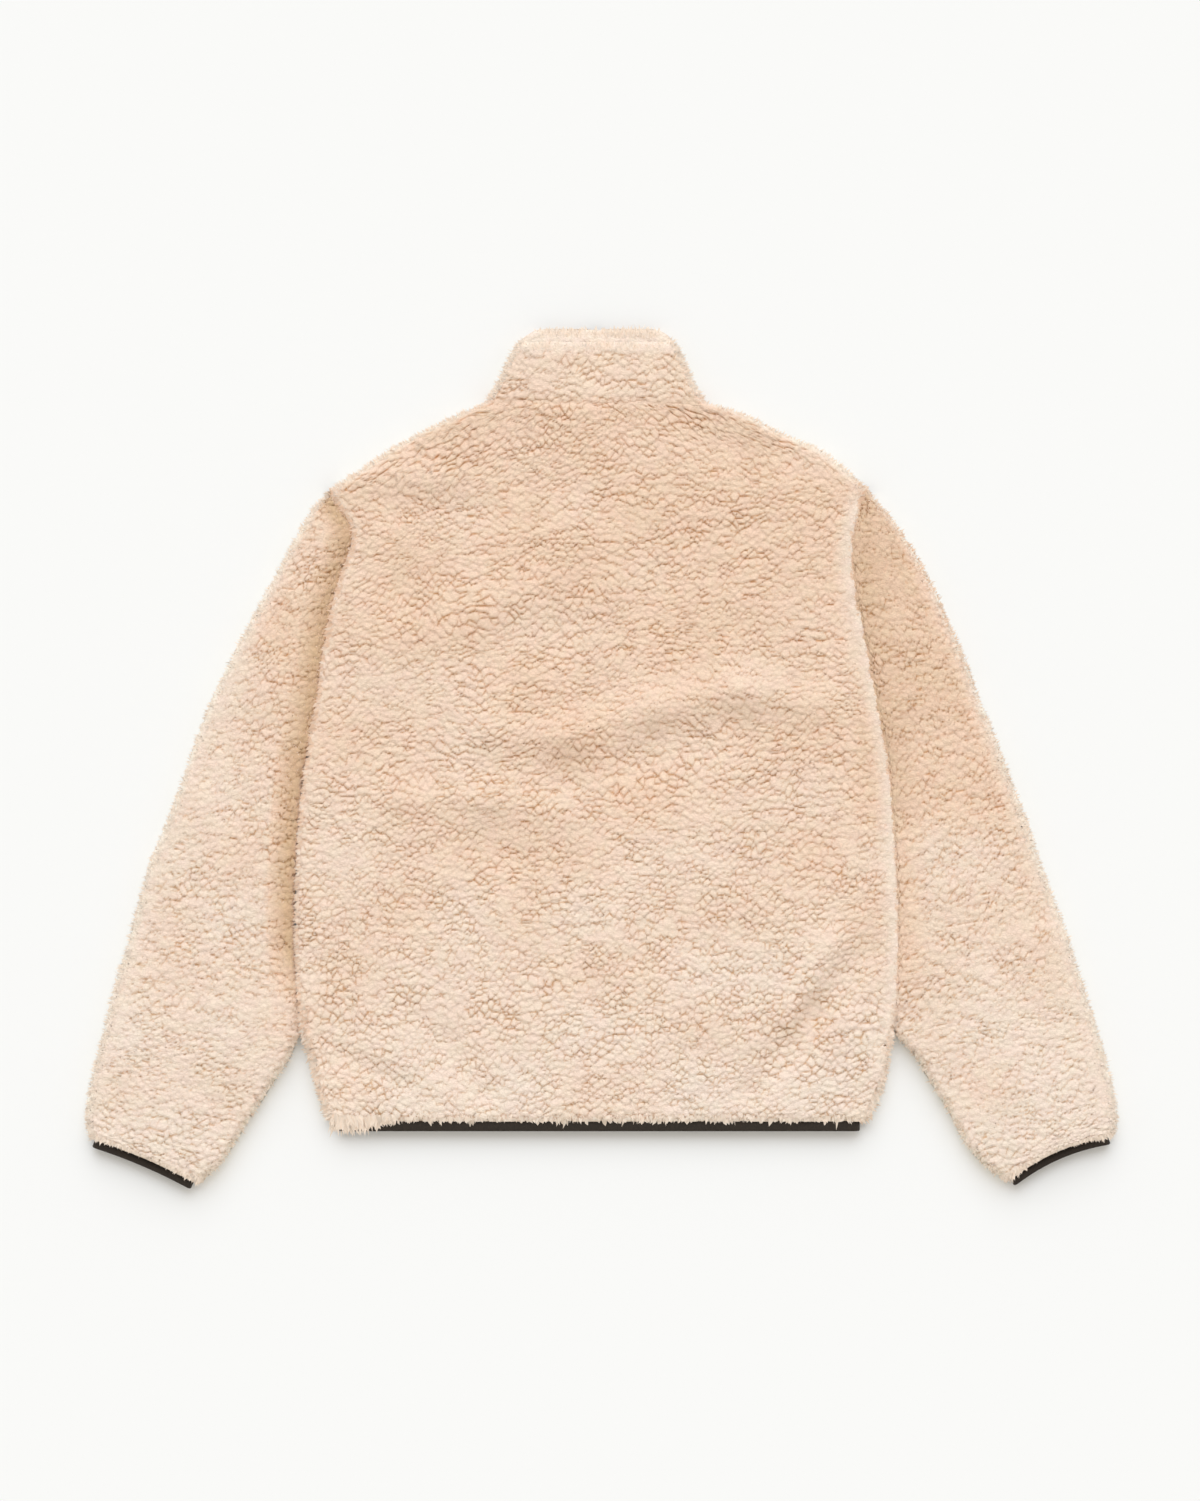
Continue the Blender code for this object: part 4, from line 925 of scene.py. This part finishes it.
def flattened_ring(first, last):
    """Points (run, z) from under the first end round it, over the top, and round the last end."""
    radius = (BINDING_TOP_Z - BINDING_UNDER_Z) / 2
    middle = (BINDING_TOP_Z + BINDING_UNDER_Z) / 2
    reach = radius + BINDING_WALL / 2
    angle = np.radians(np.arange(0, 181, 12))
    arc = radius * np.stack([np.sin(angle), np.cos(angle)], 1)
    run = np.arange(first + reach + BINDING_STEP, last - reach - BINDING_STEP / 2, BINDING_STEP)
    return np.concatenate([(first + reach, middle) - arc, at_height(run, BINDING_TOP_Z),
                           (last - reach, middle) + arc])


def at_height(run, z):
    """Points (run, z), all at one height."""
    return np.stack([run, np.full_like(run, z)], 1)


def binding(name, stands_for, path, down, height, closed):
    """A rounded strip section carried along a path: out along its normal, and down from the cloth.
    """
    ahead = np.roll(path, -1, 0) - np.roll(path, 1, 0)
    if not closed:
        ahead[0], ahead[-1] = path[1] - path[0], path[-1] - path[-2]
    normal = unit(np.cross(ahead, down))
    half, soft = BINDING_WALL / 2, BINDING_ROUNDING
    turn = np.radians(np.arange(0, 91, 22.5))
    out = np.concatenate([[-half, -half], -half + soft - soft * np.cos(turn[1:]),
                          half - soft + soft * np.sin(turn), [half]])
    drop = np.concatenate([[0, height - soft], height - soft + soft * np.sin(turn[1:]),
                           height - soft + soft * np.cos(turn), [0]])
    rings = path[:, None] + normal[:, None] * out[:, None] + down * drop[:, None]
    rows, sides = rings.shape[:2]
    index = np.arange(rows * sides).reshape(rows, sides)
    faces = [quads(np.pad(index, ((0, int(closed)), (0, 1)), mode="wrap"))]
    if not closed:
        faces += [index[:1, ::-1], index[-1:]]
    run = run_along(path)
    strip = put(name, rings, faces, {"run": np.repeat(run, sides)})
    return sewn(strip, elastic, "elastic_binding", stands_for), run[-1], height


ring = flattened_ring(*HEM_BINDING_X)
lay = np.concatenate([at_height(np.linspace(LEFT_EDGE, ring[0, 0], 40)[:-1], BINDING_UNDER_Z), ring,
                      at_height(np.linspace(ring[-1, 0], RIGHT_EDGE, 40)[1:], BINDING_UNDER_Z)])
path = np.stack([lay[:, 0], np.full(len(lay), HEM_Y - SEAM_GAP), lay[:, 1]], 1)
bands = [binding("hem_elastic", "hem_binding", path, np.array([0.0, -1.0, 0.0]), HEM_BINDING_HEIGHT, False)]

for side, (_, _, rows) in sleeves.items():
    inner = np.array([rows["x"][-1], rows["y"][-1]])
    inward = -np.array([rows["ax"][-1], rows["ay"][-1]])
    width = rows["width"][-1]
    down = np.array([-inward[1], inward[0], 0.0]) * OUTWARD[side]
    ring = flattened_ring(CUFF_BINDING_INSET, width - CUFF_BINDING_INSET)
    lay = np.concatenate([ring, at_height(np.linspace(ring[-1, 0], ring[0, 0], 40)[1:-1], BINDING_UNDER_Z)])
    arch = CUFF_BOW[side] * (1 - (2 * lay[:, 0] / width - 1) ** 2)
    plan = inner - inward * width + inward * lay[:, :1] + down[:2] * (CUFF_GAP - arch)[:, None]
    bands.append(binding(f"cuff_elastic_{side}", f"cuff_binding_{side}",
                         np.concatenate([plan, lay[:, 1:]], 1), down, CUFF_BINDING_HEIGHT, True))

# ----------------------------------------
# Zip. A moulded separating zip with a lacquered zinc slider. It lies closed under the jacket.

CHAIN_FROM_Y, CHAIN_TO_Y = -338.0, 391.5
CHAIN_Z = (5.2, 7.8)
TOOTH_PITCH = 2.5  # from tooth to tooth on one tape; the other tape's are half-way
TOOTH_OUTLINE = np.array([(-3.0, -0.75), (-0.9, -0.5), (0.1, -0.62), (1.0, -0.3), (1.0, 0.3), (0.1, 0.62),
                          (-0.9, 0.5), (-3.0, 0.75)])  # (towards the other tape, along it)

# Zip tape: woven polyester, a fine twill of ribs that run across it.
tape_weave, tree, place = new_material("woven_polyester_tape")
slanting = node(tree, "Mapping", place, Rotation=(0.0, 0.0, 0.5))
wave = node(tree, "TexWave", Vector=slanting, bands_direction="Y", Scale=500.0, Distortion=0.4)
twill = wave.outputs["Fac"]
thread = node(tree, "Bump", Height=twill, Strength=0.5, Distance=0.0001)
principled(tree, Base_Color=ramp(tree, twill, ("#BBA287", "#D3BFA8")), Normal=thread,
           Roughness=0.85, Specular_IOR_Level=0.2)

# Teeth and box: injection-moulded acetal, satin, with a faint grain from the mould.
acetal, tree, place = new_material("moulded_acetal")
grain = noise(tree, place, 2500.0, 2.0)
satin = node(tree, "MapRange", grain, To_Min=0.34, To_Max=0.5)
grained = node(tree, "Bump", Height=grain, Strength=0.2, Distance=0.00005)
principled(tree, Base_Color=linear("#CDB79F"), Roughness=satin, Normal=grained)

# Slider and pull: die-cast zinc under a clear lacquer, with small uneven places that catch the light.
lacquer, tree, place = new_material("lacquered_zinc")
cast = noise(tree, place, 600.0, 3.0)
dull = node(tree, "MapRange", cast, To_Min=0.3, To_Max=0.48)
uneven = node(tree, "Bump", Height=cast, Strength=0.15, Distance=0.0001)
principled(tree, Base_Color=linear("#8F887E"), Roughness=dull, Normal=uneven, Metallic=0.8,
           Coat_Weight=0.3, Coat_Roughness=0.15)
for name, material in (("zip_tape_left", tape_weave), ("zip_tape_right", tape_weave),
                       ("zip_box", acetal), ("zip_slider", lacquer), ("zip_pull", lacquer)):
    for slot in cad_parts[name].material_slots:
        slot.material = material

tooth_y = np.arange(CHAIN_FROM_Y + 1, CHAIN_TO_Y - 1, TOOTH_PITCH / 2)
sign = np.where(np.arange(len(tooth_y)) % 2, -1.0, 1.0)[:, None]
plan = np.stack([FRONT_X + sign * TOOTH_OUTLINE[:, 0], tooth_y[:, None] + sign * TOOTH_OUTLINE[:, 1]], -1)
corners = TOOTH_OUTLINE.shape[0]
layers = np.stack([np.concatenate([plan, np.full((*plan.shape[:2], 1), z)], -1) for z in CHAIN_Z], 1)
base = (np.arange(len(tooth_y)) * 2 * corners)[:, None, None]
ring_of = np.arange(corners)
ahead = np.roll(ring_of, -1)
walls = np.stack([ring_of, ahead, ahead + corners, ring_of + corners], -1) + base
lids = np.stack([ring_of[::-1], ring_of + corners]) + base
teeth = put("zip_teeth", layers, [walls.reshape(-1, 4), lids.reshape(-1, corners)])
sewn(teeth, acetal, "zip_teeth", "zip_chain")
teeth.data.shade_flat()

# ----------------------------------------
# Surface, light and camera: a white table, soft light from above with a little more of it from the
# collar's side, and a camera straight above.

paper, tree, _ = new_material("white_paper_sweep")
principled(tree, Base_Color=linear("#F7F7F5"), Roughness=0.9, Specular_IOR_Level=0.1)
FLOOR_REACH, FLOOR_Z = 4000.0, -0.3
corners = np.array([(-1, -1, FLOOR_Z), (1, -1, FLOOR_Z), (1, 1, FLOOR_Z), (-1, 1, FLOOR_Z)])
floor = put("floor", corners * (FLOOR_REACH, FLOOR_REACH, 1), [np.array([[0, 1, 2, 3]])])
floor.data.materials.append(paper)

world = bpy.data.worlds.new("studio")
bpy.context.scene.world = world
world.use_nodes = True
sky = world.node_tree.nodes["Background"].inputs
sky["Color"].default_value, sky["Strength"].default_value = (1.0, 0.956, 0.894, 1.0), 0.72

lamp = bpy.data.lights.new("top_light", "SUN")
lamp.energy = 1.808
lamp.color = (0.8016, 0.884, 1.0)
lamp.angle = np.radians(55)
placed("top_light", lamp).rotation_euler = (np.radians(-48), 0, 0)  # from the collar's side

FRAME_HEIGHT = 1.426  # metres that the photograph's height spans at the level of the seams
FRAME_MIDDLE = (-0.0014, 0.0082)
lens = bpy.data.cameras.new("camera")
lens.lens, lens.clip_end = 110, 100
camera = placed("camera", lens)
camera.location = (*FRAME_MIDDLE, FRAME_HEIGHT * lens.lens / lens.sensor_width + ROLL_LEVEL * MM)
bpy.context.scene.camera = camera
bpy.context.scene.view_settings.view_transform = "Standard"

# ----------------------------------------
# Flat sizes of the cloth. Each sheet is cut to the width of its widest row and the length along its
# rows; its area is the sum over the rows. A sleeve's cut goes all round the arm.

for name, (piece, ends, t) in cloth.items():
    low, high = ends(t)
    area = np.sum((high - low)[:-1] * np.diff(t)) * MM ** 2
